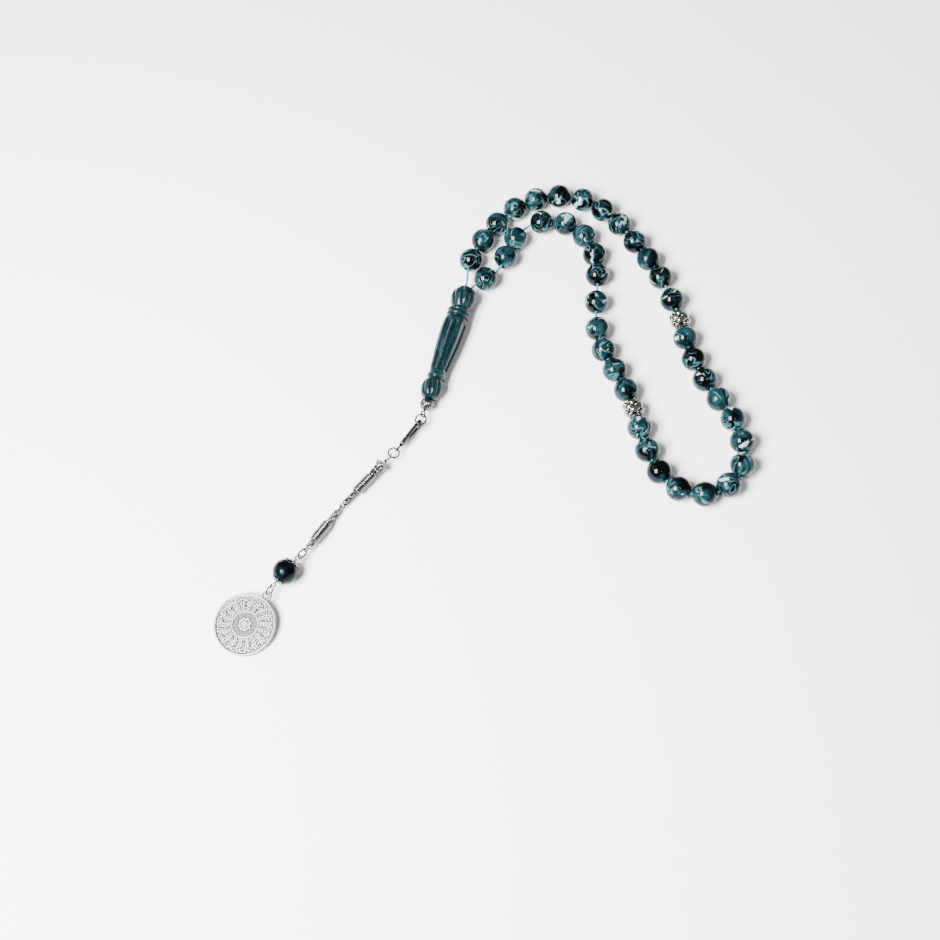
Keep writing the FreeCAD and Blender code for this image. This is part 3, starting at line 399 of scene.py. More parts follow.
def soft_step(value, low, high):
    """0 below low, 1 above high, smooth between."""
    share = np.clip((np.asarray(value, float) - low) / (high - low), 0, 1)
    return share * share * (3 - 2 * share)


def soft_band(value, rise, fall):
    """1 between the rise and the fall, 0 outside them; each is a pair of limits."""
    return soft_step(value, *rise) * (1 - soft_step(value, *fall))


def ridge(value, centre, width):
    """1 at the centre, fading out smoothly over about the width on both sides."""
    return np.exp(-(((value - centre) / width) ** 2))


def carried_frames(path, closed):
    """Tangents and normals along a path, the normal carried with no needless twist."""
    if closed:
        tangents = np.roll(path, -1, axis=0) - np.roll(path, 1, axis=0)
    else:
        tangents = np.gradient(path, axis=0)
    tangents /= np.linalg.norm(tangents, axis=1)[:, None]
    # Any direction will do to start from, so long as no path here sets out along it.
    normal = np.cross(tangents[0], (0.31, 0.17, 0.93))
    normals = []
    for tangent in tangents:
        normal = normal - tangent * normal.dot(tangent)
        normal /= np.linalg.norm(normal)
        normals.append(normal)
    return tangents, np.array(normals)


def tube_skin(path, radii, turn, closed):
    """Points round a path: a row for each path point and a column for each turn."""
    tangents, normals = carried_frames(path, closed)
    binormals = np.cross(tangents, normals)
    spokes = (
        normals[:, None, :] * np.cos(turn)[None, :, None]
        + binormals[:, None, :] * np.sin(turn)[None, :, None]
    )
    return path[:, None, :] + spokes * radii[:, :, None]


def lathe(stations, radii, columns):
    """Points of a surface of revolution about X; radii is (rows,) or (rows, columns)."""
    turn = turns(columns)
    radii = np.asarray(radii, float)
    if radii.ndim == 1:
        radii = radii[:, None] * np.ones(columns)
    along = np.asarray(stations, float)[:, None] * np.ones(columns)
    return np.stack([along, radii * np.cos(turn), radii * np.sin(turn)], axis=-1)


class Shape:
    """Vertices, faces and a cavity value per vertex, gathered for one mesh; the cavity value weights
    painted shade.
    """

    def __init__(self):
        self.points = []
        self.faces = []
        self.cavity = []
        self.count = 0

    def add(self, points, faces, cavity=None):
        points = np.asarray(points, float).reshape(-1, 3)
        if cavity is None:
            cavity = np.zeros(len(points))
        self.points.append(points)
        self.faces += [tuple(index + self.count for index in face) for face in faces]
        self.cavity.append(np.asarray(cavity, float).ravel())
        self.count += len(points)

    def grid(self, points, cavity=None, wrap_rows=False, cap_ends=False):
        """Rows of points that close round; the rows may close too, or end in caps."""
        rows, columns = points.shape[:2]
        faces = []
        last = rows if wrap_rows else rows - 1
        for row in range(last):
            below = (row + 1) % rows
            for column in range(columns):
                beside = (column + 1) % columns
                faces.append((
                    row * columns + column,
                    row * columns + beside,
                    below * columns + beside,
                    below * columns + column,
                ))
        if cap_ends:
            faces.append(tuple(reversed(range(columns))))
            faces.append(tuple((rows - 1) * columns + column for column in range(columns)))
        self.add(points, faces, cavity)

    def tube(self, path, radius, sides=10, closed=False):
        """Round wire along a path of points."""
        path = np.asarray(path, float)
        radii = np.full((len(path), 1), radius)
        skin = tube_skin(path, radii, turns(sides), closed)
        self.grid(skin, wrap_rows=closed, cap_ends=not closed)

    def ball(self, centre, radius, columns=12, rows=8):
        """Small round grain."""
        lean = (np.arange(rows) + 0.5) * math.pi / rows
        skin = lathe(np.cos(lean), np.sin(lean), columns)
        self.grid(skin * radius + np.asarray(centre, float), cap_ends=True)


def finished(name, shape, place, body, material, replaces):
    """Mesh object from a shape in millimetres, put in place and tied to the frame."""
    rotation = np.array(place.to_3x3())
    points = np.vstack(shape.points) @ rotation.T * MM + np.array(place.translation)
    mesh = bpy.data.meshes.new(name)
    mesh.from_pydata(points.tolist(), [], shape.faces)
    mesh.polygons.foreach_set("use_smooth", [True] * len(mesh.polygons))
    layer = mesh.attributes.new("cavity", "FLOAT", "POINT")
    layer.data.foreach_set("value", np.concatenate(shape.cavity).astype(np.float32))
    mesh.materials.append(material)
    mesh.validate()
    piece = bpy.data.objects.new(name, mesh)
    bpy.context.scene.collection.objects.link(piece)
    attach(piece, body)
    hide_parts(*replaces)
    return piece


def link_place(base, heading, pitch, roll):
    """Place of a link: nose along the heading, pitched down, rolled about itself."""
    turn = (
        Matrix.Rotation(math.radians(heading), 4, "Z")
        @ Matrix.Rotation(math.radians(pitch), 4, "Y")
        @ Matrix.Rotation(math.radians(roll), 4, "X")
    )
    return Matrix.Translation(Vector(base)) @ turn


def joint_point(name):
    return Vector(joints[name]["pos_m"])


def strung_place(name):
    """Place of a strung piece: the middle of its box and its joint's direction."""
    axis = next(joint["axis"] for joint in joints.values() if joint["child"] == name)
    heading = math.degrees(math.atan2(axis[1], axis[0]))
    low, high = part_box(name)
    return link_place((low + high) / 2, heading, 0, 0)


# ---- cord --------------------------------------------------------------------
CORD_RADIUS = 0.5
CORD_HEIGHT = 5.0
CORD_PAIR_OFFSET = 0.65
CORD_MOUTH_REACH = 2.0
LEADER_TIP = Vector((9.7, 48.9, 0.0))
LEADER_HEADING = -116.4
LEADER_CORD_BORE_DEPTH = 5.0
ROUTE_PLAN = (
    (12.1, 61.8),
    (20.9, 72.6),
    (34.0, 84.4),
    (48.9, 88.6),
    (64.5, 85.2),
    (76.1, 73.2),
    (83.7, 56.5),
    (90.3, 38.6),
    (93.3, 20.5),
    (93.5, 2.0),
    (97.5, -16.0),
    (103.9, -30.0),
    (105.7, -43.8),
    (101.5, -56.2),
    (87.9, -63.0),
    (73.9, -57.2),
    (67.9, -43.4),
    (66.7, -26.6),
    (65.3, -9.0),
    (59.3, 7.6),
    (59.1, 24.0),
    (63.9, 40.0),
    (65.9, 54.4),
    (63.1, 66.2),
    (54.9, 74.4),
    (43.7, 76.2),
    (33.1, 70.2),
    (24.1, 53.2),
)
BRAID_STRANDS = 4
BRAID_PITCH = 2.4
BRAID_RELIEF = 0.06
BRAID_SIDES = 24
BRAID_STEP = 0.2


def cord_route():
    """The cord's route points, from one end inside the leader to the other."""
    heading = math.radians(LEADER_HEADING)
    inward = Vector((math.cos(heading), math.sin(heading), 0))
    sideways = Vector((-inward.y, inward.x, 0))
    bore_floor = LEADER_TIP + inward * LEADER_CORD_BORE_DEPTH
    bore_floor.z = CORD_HEIGHT
    start = bore_floor - sideways * CORD_PAIR_OFFSET
    end = bore_floor + sideways * CORD_PAIR_OFFSET
    to_mouth = inward * (LEADER_CORD_BORE_DEPTH + CORD_MOUTH_REACH)
    middle = [Vector((x, y, CORD_HEIGHT)) for x, y in ROUTE_PLAN]
    points = [start, start - to_mouth] + middle + [end - to_mouth, end]
    return [point * MM for point in points]


def smooth_line(route):
    """Points along the NURBS line of the route, as Blender draws it, in millimetres."""
    data = bpy.data.curves.new("cord_line", "CURVE")
    data.dimensions = "3D"
    data.resolution_u = 24
    spline = data.splines.new("NURBS")
    spline.points.add(len(route) - 1)
    for point, place in zip(spline.points, route):
        point.co = (*place, 1.0)
    spline.order_u = 3
    spline.use_endpoint_u = True
    holder = bpy.data.objects.new("cord_line", data)
    bpy.context.scene.collection.objects.link(holder)
    bpy.context.view_layer.update()
    drawn = bpy.data.meshes.new_from_object(holder)
    line = np.array([vertex.co for vertex in drawn.vertices]) / MM
    bpy.data.meshes.remove(drawn)
    bpy.data.objects.remove(holder)
    bpy.data.curves.remove(data)
    return line


def evenly_spaced(line, step):
    """The same line with its points a fixed step apart."""
    runs = np.linalg.norm(np.diff(line, axis=0), axis=1)
    distance = np.concatenate([[0], np.cumsum(runs)])
    marks = np.linspace(0, distance[-1], int(distance[-1] / step) + 1)
    return np.stack([np.interp(marks, distance, line[:, axis]) for axis in range(3)], axis=-1), marks


def make_cord(material):
    """Braided cord: strands cross both ways round a tube along the smooth line."""
    route = cord_route()
    line, marks = evenly_spaced(smooth_line(route), BRAID_STEP)
    turn = turns(BRAID_SIDES)
    twist = marks[:, None] * TAU / BRAID_PITCH
    one_way = np.cos(BRAID_STRANDS * turn[None, :] + twist)
    other_way = np.cos(BRAID_STRANDS * turn[None, :] - twist)
    relief = np.maximum(one_way, other_way)
    radii = CORD_RADIUS * (1 + BRAID_RELIEF * (relief - 1))
    shape = Shape()
    shape.grid(tube_skin(line, radii, turn, False), cavity=(1 - relief) / 2, cap_ends=True)
    cord = finished(
        "braided_cord", shape, Matrix.Identity(4), "strand", material, ["cord"]
    )


# ---- strung pieces -----------------------------------------------------------
BEAD_RADIUS = 5.0
BEAD_BORE_RADIUS = 1.1
BEAD_BORE_LIP = 0.2
BEAD_COLUMNS = 56
BEAD_ROWS = 40
SEPARATOR_RADIUS = 4.25
SEPARATOR_END_RADIUS = 2.5
SEPARATOR_LENGTH = 7.0
SEPARATOR_BANDS = 4
SEPARATOR_SLANT = 1.86
SEPARATOR_RELIEF = 1.0
SEPARATOR_ROWS = 72
SEPARATOR_COLUMNS = 144
OVER_SHARE = 0.7
UNDER_SHARE = 0.3


def bored_ball(radius, bore, lip, rows, columns):
    """Ball with a through bore along X and rounded bore mouths, as a closed skin."""
    mouth = math.asin((bore + lip) / radius)
    lean = np.linspace(mouth, math.pi - mouth, rows)
    stations = list(-radius * np.cos(lean))
    radii = list(radius * np.sin(lean))
    end = radius * math.cos(mouth)
    shoulder = 0.3 * lip
    inward = [(end - shoulder, bore + shoulder), (end - lip, bore + 0.02), (0.5 * end, bore)]
    outward = [(-station, wall) for station, wall in reversed(inward)]
    for station, wall in inward + [(0.0, bore)] + outward:
        stations.append(station)
        radii.append(wall)
    return lathe(stations, radii, columns)


def make_beads(material):
    skin = bored_ball(BEAD_RADIUS, BEAD_BORE_RADIUS, BEAD_BORE_LIP, BEAD_ROWS, BEAD_COLUMNS)
    shape = Shape()
    shape.grid(skin, wrap_rows=True)
    for name in sorted(name for name in nodes if name.startswith("bead_")):
        finished("marbled_" + name, shape, strung_place(name), name, material, [name])


def woven_barrel():
    """Barrel of flat metal bands that cross over and under each other."""
    half = SEPARATOR_LENGTH / 2
    lean = np.linspace(-1, 1, SEPARATOR_ROWS)
    stations = half * np.sin(lean * math.pi / 2)
    swell = np.sqrt(np.clip(1 - (stations / half) ** 2, 0, 1))
    outline = SEPARATOR_END_RADIUS + (SEPARATOR_RADIUS - SEPARATOR_END_RADIUS) * swell
    turn = turns(SEPARATOR_COLUMNS)[None, :] / TAU
    slant = (stations / SEPARATOR_LENGTH)[:, None] * SEPARATOR_SLANT
    first = SEPARATOR_BANDS * turn + slant
    second = SEPARATOR_BANDS * turn - slant
    first_band = 1 - np.abs(2 * (first % 1) - 1) ** 4
    second_band = 1 - np.abs(2 * (second % 1) - 1) ** 4
    first_is_over = (np.floor(first) + np.floor(second)) % 2 < 1
    height = np.where(
        first_is_over,
        first_band * OVER_SHARE + second_band * UNDER_SHARE,
        second_band * OVER_SHARE + first_band * UNDER_SHARE,
    )
    height = height * np.minimum(first_band, second_band) ** 0.35
    radii = outline[:, None] - SEPARATOR_RELIEF * (1 - height)
    # Painted shade: the cavity value darkens the gaps between the bands.
    cavity = np.clip(1.35 - 1.9 * height, 0, 1)
    return stations, radii, cavity


def make_separators(material):
    stations, radii, cavity = woven_barrel()
    bore_stations = [stations[-1], 0, stations[0]]
    bore = np.full((3, SEPARATOR_COLUMNS), BEAD_BORE_RADIUS)
    stations = np.concatenate([stations, bore_stations])
    radii = np.vstack([radii, bore])
    # The bore gets full painted shade.
    cavity = np.vstack([cavity, np.ones_like(bore)])
    shape = Shape()
    shape.grid(lathe(stations, radii, SEPARATOR_COLUMNS), cavity=cavity, wrap_rows=True)
    for name in ("separator_1", "separator_2"):
        place = strung_place(name)
        finished("woven_" + name, shape, place, name, material, [name])


# ---- leader ------------------------------------------------------------------
LEADER_LENGTH = 53.5
LEADER_PITCH = 1.117
LEADER_BASE_HEIGHT = 5.555
LEADER_ROWS = 420
LEADER_COLUMNS = 192
LEADER_GORES = 8
LEADER_FLUTES = 8
# Distance from the cord end, and radius there.
LEADER_OUTLINE = (
    # cord end and upper ball
    (0.0, 0.0), (0.0, 1.5), (0.12, 2.1), (0.5, 2.8), (1.1, 3.55), (2.0, 4.35), (3.2, 5.0),
    (4.4, 5.33), (5.4, 5.39), (6.4, 5.33), (7.6, 5.05), (8.8, 4.6), (9.8, 4.0),
    # two rings between three waists
    (10.5, 3.62), (10.8, 3.57), (11.1, 3.75), (11.35, 4.45), (11.8, 4.74), (12.3, 4.74),
    (12.6, 4.5), (12.85, 3.8), (13.1, 3.75), (13.35, 4.5), (13.7, 4.74), (14.2, 4.74),
    (14.55, 4.5), (14.8, 3.8), (15.1, 3.7),
    # barrel
    (15.5, 4.2), (16.1, 4.68), (17.4, 4.93), (20.0, 5.0), (24.0, 4.93), (28.0, 4.72),
    (32.0, 4.38), (36.0, 3.98), (40.0, 3.6), (42.2, 3.38),
    # third ring and last waist
    (42.6, 3.34), (42.8, 3.5), (43.1, 3.8), (43.6, 3.84), (43.9, 3.75), (44.15, 3.25),
    (44.4, 3.02), (44.7, 3.08),
    # lower ball and tassel end
    (45.3, 3.5), (46.2, 4.05), (47.4, 4.42), (49.0, 4.54), (50.3, 4.42), (51.5, 4.05),
    (52.5, 3.5), (53.1, 3.02), (53.4, 2.65), (53.5, 2.2), (53.5, 0.0),
)
UPPER_BALL_SPAN = ((0.9, 2.6), (8.6, 10.2))
LOWER_BALL_SPAN = ((45.2, 46.6), (51.2, 52.8))
FLUTE_SPAN = ((16.6, 18.6), (39.6, 41.8))
UPPER_GORE_DEPTH = 0.55
LOWER_GORE_DEPTH = 0.5
FLUTE_DEPTH = 0.62
FLUTE_EDGE_HEIGHT = 0.1
# Middle and half width of each waist that gets painted shade.
LEADER_WAISTS = ((12.95, 0.22), (15.0, 0.3), (10.9, 0.3), (44.35, 0.3))
CAP_BEAD_RADIUS = 2.75
CAP_BEAD_SEAT = 0.2
CAP_BEAD_ROWS = 64
CAP_BEAD_COLUMNS = 128
CAP_BEAD_END_LEAN = 0.16
CAP_BEAD_RIBS = 12
CAP_BEAD_RIB_DEPTH = 0.374


def leader_place():
    base = Vector((LEADER_TIP.x, LEADER_TIP.y, LEADER_BASE_HEIGHT)) * MM
    return link_place(base, LEADER_HEADING, LEADER_PITCH, 0)


def smoothed_outline(outline, rows):
    """Stations and radii of evenly spaced rows along an outline, corners softened."""
    outline = np.array(outline)
    runs = np.linalg.norm(np.diff(outline, axis=0), axis=1)
    reach = np.concatenate([[0], np.cumsum(runs)])
    marks = np.linspace(0.02, reach[-1] - 0.02, rows)
    stations = np.interp(marks, reach, outline[:, 0])
    radii = np.interp(marks, reach, outline[:, 1])
    kernel = np.array([1, 2, 3, 2, 1]) / 9
    inner = slice(8, rows - 8)
    radii[inner] = np.convolve(radii, kernel, "same")[inner]
    return stations, radii


def gores(turn, along, middle, half_length, sway, width):
    """Melon cuts of a ball, 1 in each groove; the grooves sway along the ball."""
    swayed = turn + sway * np.sin((along - middle) / half_length * 1.4)
    place = (swayed * LEADER_GORES / TAU) % 1
    distance = np.minimum(place, 1 - place)
    return np.clip(1 - distance / width, 0, 1) ** 1.5


def make_leader(material):
    """Turned leader with melon-cut balls and a barrel cut with long flutes."""
    stations, radii = smoothed_outline(LEADER_OUTLINE, LEADER_ROWS)
    turn = turns(LEADER_COLUMNS)[None, :]
    along = stations[:, None]
    upper_ball = soft_band(along, *UPPER_BALL_SPAN)
    lower_ball = soft_band(along, *LOWER_BALL_SPAN)
    upper_gores = gores(turn, along, 5.3, 5.3, 0.22, 0.32)
    lower_gores = gores(turn, along, 48.9, 4.3, 0.2, 0.34)
    fluted = soft_band(along, *FLUTE_SPAN)
    from_middle = np.abs((turn * LEADER_FLUTES / TAU) % 1 - 0.5)
    hollow = np.clip(1 - (from_middle / 0.4) ** 2, 0, 1) ** 0.8
    edge_line = ridge(from_middle, 0.45, 0.04)
    valley_line = ridge(from_middle, 0.3, 0.06)
    depth = (
        UPPER_GORE_DEPTH * upper_ball * upper_gores
        + LOWER_GORE_DEPTH * lower_ball * lower_gores
        + fluted * (FLUTE_DEPTH * hollow - FLUTE_EDGE_HEIGHT * edge_line)
    )
    waists = sum(ridge(along, middle, width) for middle, width in LEADER_WAISTS)
    # The cavity value weights painted shade in the gore grooves, flute valleys and waists.
    cavity = (
        0.9 * upper_ball * upper_gores ** 2
        + 0.9 * lower_ball * lower_gores ** 2
        + 0.75 * fluted * valley_line
        + 0.7 * waists
    )
    skin = lathe(stations, radii[:, None] - depth, LEADER_COLUMNS)
    shape = Shape()
    shape.grid(skin, cavity=np.clip(cavity, 0, 1), cap_ends=True)
    finished("fluted_leader", shape, leader_place(), "strand", material, ["imame"])


def make_cap_bead(material):
    """Small metal bead under the leader, with slanted ribs on both sides of a belt."""
    lean = np.linspace(CAP_BEAD_END_LEAN, math.pi - CAP_BEAD_END_LEAN, CAP_BEAD_ROWS)
    centre = LEADER_LENGTH + CAP_BEAD_RADIUS - CAP_BEAD_SEAT
    stations = np.maximum(centre - CAP_BEAD_RADIUS * np.cos(lean), LEADER_LENGTH)
    turn = turns(CAP_BEAD_COLUMNS)[None, :]
    from_belt = lean[:, None] - math.pi / 2
    slant = 0.9 * from_belt
    ribs = np.abs(np.cos(CAP_BEAD_RIBS / 2 * (turn + slant)))
    ribbed = 1 - ridge(from_belt, 0, 0.07)
    depth = CAP_BEAD_RIB_DEPTH * (1 - ribs) ** 1.3 * ribbed
    radii = np.sin(lean)[:, None] * (CAP_BEAD_RADIUS - depth)
    # The cavity value puts painted shade in the grooves between the ribs.
    cavity = np.clip(1.4 * (1 - ribs) ** 1.2 * ribbed, 0, 1)
    shape = Shape()
    shape.grid(lathe(stations, radii, CAP_BEAD_COLUMNS), cavity=cavity, cap_ends=True)
    finished(
        "ribbed_cap_bead", shape, leader_place(), "strand", material,
        ["imame_cap_bead"],
    )


# ---- chain -------------------------------------------------------------------
LINK_CLEARANCE = 0.22
RING_WIRE_RADIUS = 0.34
EYE_WIRE_RADIUS = 0.32
CHAIN_UPPER_ANGLES = (-142.0, 3.6, -84.0)
CHAIN_LOWER_ANGLES = (-134.0, -4.6, 30.0)
UPPER_BAR_LENGTH = 16.0
LOWER_BAR_LENGTH = 20.0
CROWN_LOOP_LENGTH = 5.0
CROWN_LOOP_HALF_WIDTH = 0.95
CROWN_LOOP_NECK = 0.55
CROWN_LOOP_POINTS = 20
CROWN_START = 4.8
CROWN_LENGTH = 6.6
CROWN_END = CROWN_START + CROWN_LENGTH
CROWN_RADIUS = 2.9
CROWN_GRAINS = 12
CROWN_GRAIN_RADIUS = 0.62
CROWN_GRAIN_STATION = 0.75
CROWN_PETALS = 8
CROWN_ROWS = 90
CROWN_COLUMNS = 128
# Distance from the crown's start, and radius there.
CROWN_OUTLINE = (
    (0.0, 0.9), (0.05, 1.9), (0.5, 2.25), (1.3, 2.3), (1.6, 2.55), (1.9, 2.45), (2.6, 2.1),
    (3.8, 1.95), (5.2, 1.85), (6.25, 1.8), (6.55, 1.65), (6.6, 1.1),
)
CHAIN_EYE_RADIUS = 0.95
CHAIN_EYE_WIRE = 0.28
CHAIN_LINK_PITCH = 0.78
CHAIN_LINK_HALF_LENGTH = 0.98
CHAIN_LINK_HALF_WIDTH = 0.98
CHAIN_LINK_WIRE = 0.35
CHAIN_LINK_LEAN = math.radians(24)
CHAIN_OVERLAP = 0.2
CHAIN_CROWN_OVERLAP = 0.3
SLEEVE_WIRE = 0.38
SLEEVE_RADIUS = 1.72
SLEEVE_PITCH = 0.93
SLEEVE_STEPS = 28
UPPER_SLEEVE_GAP = 0.1
UPPER_SLEEVE_TURNS = 10
LOWER_SLEEVE_TURNS = 11
LOWER_SLEEVE_TAIL = 2.9
LOWER_SLEEVE_TAPER = 0.12


def chain_upper_place():
    """Place of the upper half of the chain, a wire's thickness behind its joint."""
    step_back = (RING_WIRE_RADIUS + EYE_WIRE_RADIUS + LINK_CLEARANCE) * MM
    place = link_place(joint_point("chain_swing"), *CHAIN_UPPER_ANGLES)
    return place @ Matrix.Translation((-step_back, 0, 0))


def chain_lower_place():
    return link_place(joint_point("chain_bend"), *CHAIN_LOWER_ANGLES)


def rolled(points, degrees):
    """Points turned about the X axis."""
    angle = math.radians(degrees)
    turn = np.array([
        [1, 0, 0],
        [0, math.cos(angle), -math.sin(angle)],
        [0, math.sin(angle), math.cos(angle)],
    ])
    return np.asarray(points) @ turn.T


def hoop(centre_x, half_length, half_width, count=36):
    """Closed oval path in the XY plane about a point on the X axis."""
    turn = turns(count)
    along = centre_x + half_length * np.cos(turn)
    return np.stack([along, half_width * np.sin(turn), np.zeros(count)], axis=-1)


def chain_eye(start):
    """Round eye whose near side is at the given distance along X."""
    return hoop(start + CHAIN_EYE_RADIUS, CHAIN_EYE_RADIUS, CHAIN_EYE_RADIUS)


def chain_links(shape, start, end):
    """Leaning links that follow each other at right angles."""
    count = int(round((end - start) / CHAIN_LINK_PITCH))
    spacing = (end - start - 2 * CHAIN_LINK_HALF_LENGTH) / (count - 1)
    along, across, _ = hoop(0.0, CHAIN_LINK_HALF_LENGTH, CHAIN_LINK_HALF_WIDTH, 20).T
    leaned = np.stack([
        along * math.cos(CHAIN_LINK_LEAN),
        across,
        along * math.sin(CHAIN_LINK_LEAN),
    ], axis=-1)
    for index in range(count):
        turned = rolled(leaned, 45 + 90 * index)
        turned[:, 0] += start + CHAIN_LINK_HALF_LENGTH + index * spacing
        shape.tube(turned, CHAIN_LINK_WIRE, sides=8, closed=True)


def sleeve(shape, start, turn_count, taper=0.0):
    """Close-wound wire coil along X, the last part of it a little narrower."""
    share = np.linspace(0, 1, turn_count * SLEEVE_STEPS + 1)
    angle = share * turn_count * TAU
    radius = SLEEVE_RADIUS * (1 - taper * soft_step(share, 0.7, 1.0))
    length = turn_count * SLEEVE_PITCH - 2 * SLEEVE_WIRE
    along = start + SLEEVE_WIRE + share * length
    path = np.stack([along, radius * np.cos(angle), radius * np.sin(angle)], axis=-1)
    shape.tube(path, SLEEVE_WIRE)


def crown_loop():
    """The long wire loop above the crown: a round bend and two legs that close in."""
    near = CROWN_LOOP_HALF_WIDTH
    far = CROWN_LOOP_LENGTH - near
    turn = np.linspace(math.pi / 2, 3 * math.pi / 2, CROWN_LOOP_POINTS)
    flat = np.zeros(CROWN_LOOP_POINTS)
    bend = np.stack([near + near * np.cos(turn), near * np.sin(turn), flat], axis=-1)
    neck = near * CROWN_LOOP_NECK
    return np.vstack([[(far, neck, 0.0)], bend, [(far, -neck, 0.0)]])


def make_crown(material):
    """Crown cap: a grain rim, tapering petals and the long wire loop above it."""
    stations = np.linspace(0, CROWN_LENGTH, CROWN_ROWS)
    radii = np.interp(stations, *np.array(CROWN_OUTLINE).T)
    turn = turns(CROWN_COLUMNS)[None, :]
    along = (stations / CROWN_LENGTH)[:, None]
    petal = np.abs(np.cos(CROWN_PETALS / 2 * turn + 0.9 * along))
    petals = soft_band(along, (0.26, 0.34), (0.9, 0.97))
    collar = ridge(along, 0.62, 0.025)
    depth = 0.42 * petals * (1 - petal) ** 1.2 - 0.12 * collar
    # The cavity value puts painted shade in the grooves between the petals and none on the collar.
    cavity = np.clip(1.3 * petals * (1 - petal) ** 1.1 - collar, 0, 1)
    skin = lathe(CROWN_START + stations, radii[:, None] - depth, CROWN_COLUMNS)
    shape = Shape()
    shape.grid(skin, cavity=cavity, cap_ends=True)
    rim = CROWN_RADIUS - CROWN_GRAIN_RADIUS
    for angle in turns(CROWN_GRAINS):
        grain = (CROWN_START + CROWN_GRAIN_STATION, rim * math.cos(angle), rim * math.sin(angle))
        shape.ball(grain, CROWN_GRAIN_RADIUS)
    shape.tube(crown_loop(), EYE_WIRE_RADIUS)
    place = chain_upper_place()
    finished("crown_cap", shape, place, "chain_top", material, ["chain_crown"])


def make_upper_chain(chain_metal, sleeve_metal):
    """Chain from the crown to its flat end eye, and the coil by the crown."""
    end = CROWN_END + UPPER_BAR_LENGTH
    links = Shape()
    chain_links(links, CROWN_END - CHAIN_CROWN_OVERLAP, end + CHAIN_OVERLAP)
    flat_eye = rolled(chain_eye(end), -CHAIN_UPPER_ANGLES[2])
    links.tube(flat_eye, CHAIN_EYE_WIRE, closed=True)
    coil = Shape()
    sleeve(coil, CROWN_END + UPPER_SLEEVE_GAP, UPPER_SLEEVE_TURNS)
    place = chain_upper_place()
    finished(
        "chain_links_upper", links, place, "chain_top", chain_metal,
        ["chain_upper"],
    )
    finished(
        "wire_coil_upper", coil, place, "chain_top", sleeve_metal,
        ["coil_sleeve_upper"],
    )


def make_lower_chain(chain_metal, sleeve_metal):
    """Chain between its upright eye and its last eye, and the coil near its end."""
    start = 2 * CHAIN_EYE_RADIUS
    end = start + LOWER_BAR_LENGTH
    links = Shape()
    chain_links(links, start - CHAIN_OVERLAP, end + CHAIN_OVERLAP)
    upright_eye = rolled(chain_eye(0.0), 90 - CHAIN_LOWER_ANGLES[2])
    links.tube(upright_eye, CHAIN_EYE_WIRE, closed=True)
    links.tube(chain_eye(end), CHAIN_EYE_WIRE, closed=True)
    coil = Shape()
    coil_start = end - LOWER_SLEEVE_TAIL - LOWER_SLEEVE_TURNS * SLEEVE_PITCH
    sleeve(coil, coil_start, LOWER_SLEEVE_TURNS, LOWER_SLEEVE_TAPER)
    place = chain_lower_place()
    finished(
        "chain_links_lower", links, place, "chain_tail", chain_metal,
        ["chain_lower"],
    )
    finished(
        "wire_coil_lower", coil, place, "chain_tail", sleeve_metal,
        ["coil_sleeve_lower"],
    )


# ---- drop bead ---------------------------------------------------------------
DROP_ANGLES = (-138.0, 0.0, 30.0)
DROP_RADIUS = 5.0
DROP_BORE_RADIUS = 0.6
DROP_BORE_LIP = 0.15
DROP_ROWS = 72
DROP_COLUMNS = 112
DROP_FACETS = 90
DROP_FACET_CUT = 0.985
DROP_PIN_RADIUS = 0.4
DROP_EYE_RADIUS = 1.15
DROP_EYE_STATION = 7.24
LACE_INNER_RADIUS = 5.12
LACE_OUTER_RADIUS = 5.47
LACE_EDGE_HEIGHT = 0.1
LACE_ROWS = 26
LACE_COLUMNS = 192
# Side of the drop bead, reach of the cap in degrees, and number of petals.
LACE_CAPS = ((-1, 38.0, 9), (1, 30.0, 8))


def drop_place():
    return link_place(joint_point("drop_bead_spin"), *DROP_ANGLES)


def make_drop_bead(material):
    """Ball with many small flat facets, bored along X."""
    skin = bored_ball(DROP_RADIUS, DROP_BORE_RADIUS, DROP_BORE_LIP, DROP_ROWS, DROP_COLUMNS)
    # The facets face along a sunflower spiral from one pole to the other.
    index = np.arange(DROP_FACETS) + 0.5
    station = 1 - 2 * index / DROP_FACETS
    around = np.sin(np.arccos(station))
    swing = index * math.pi * (1 + math.sqrt(5))
    normals = np.stack([station, around * np.cos(swing), around * np.sin(swing)], axis=-1)
    points = skin.reshape(-1, 3)
    length = np.linalg.norm(points, axis=1)
    facing = (points / length[:, None]) @ normals.T
    limit = DROP_RADIUS * DROP_FACET_CUT / facing.max(axis=1)
    outer = length > DROP_RADIUS - 0.02
    points[outer] *= np.minimum(1, limit[outer] / length[outer])[:, None]
    shape = Shape()
    shape.grid(points.reshape(skin.shape), wrap_rows=True)
    finished("faceted_drop", shape, drop_place(), "drop_bead", material, ["drop_bead"])


def pierced_faces(solid, layer):
    """Faces of two skins over the solid cells of a round grid, and walls between them."""
    columns = solid.shape[1]
    faces = []
    # An edge that two solid cells share needs no wall. A dict keeps the walls in order.
    walls = {}
    for row, column in np.argwhere(solid).tolist():
        beside = (column + 1) % columns
        corners = (
            row * columns + column,
            (row + 1) * columns + column,
            (row + 1) * columns + beside,
            row * columns + beside,
        )
        faces.append(corners)
        faces.append(tuple(index + layer for index in reversed(corners)))
        for first, second in zip(corners, corners[1:] + corners[:1]):
            if (second, first) in walls:
                del walls[(second, first)]
            else:
                walls[(first, second)] = True
    faces += [(second, first, first + layer, second + layer) for first, second in walls]
    return faces


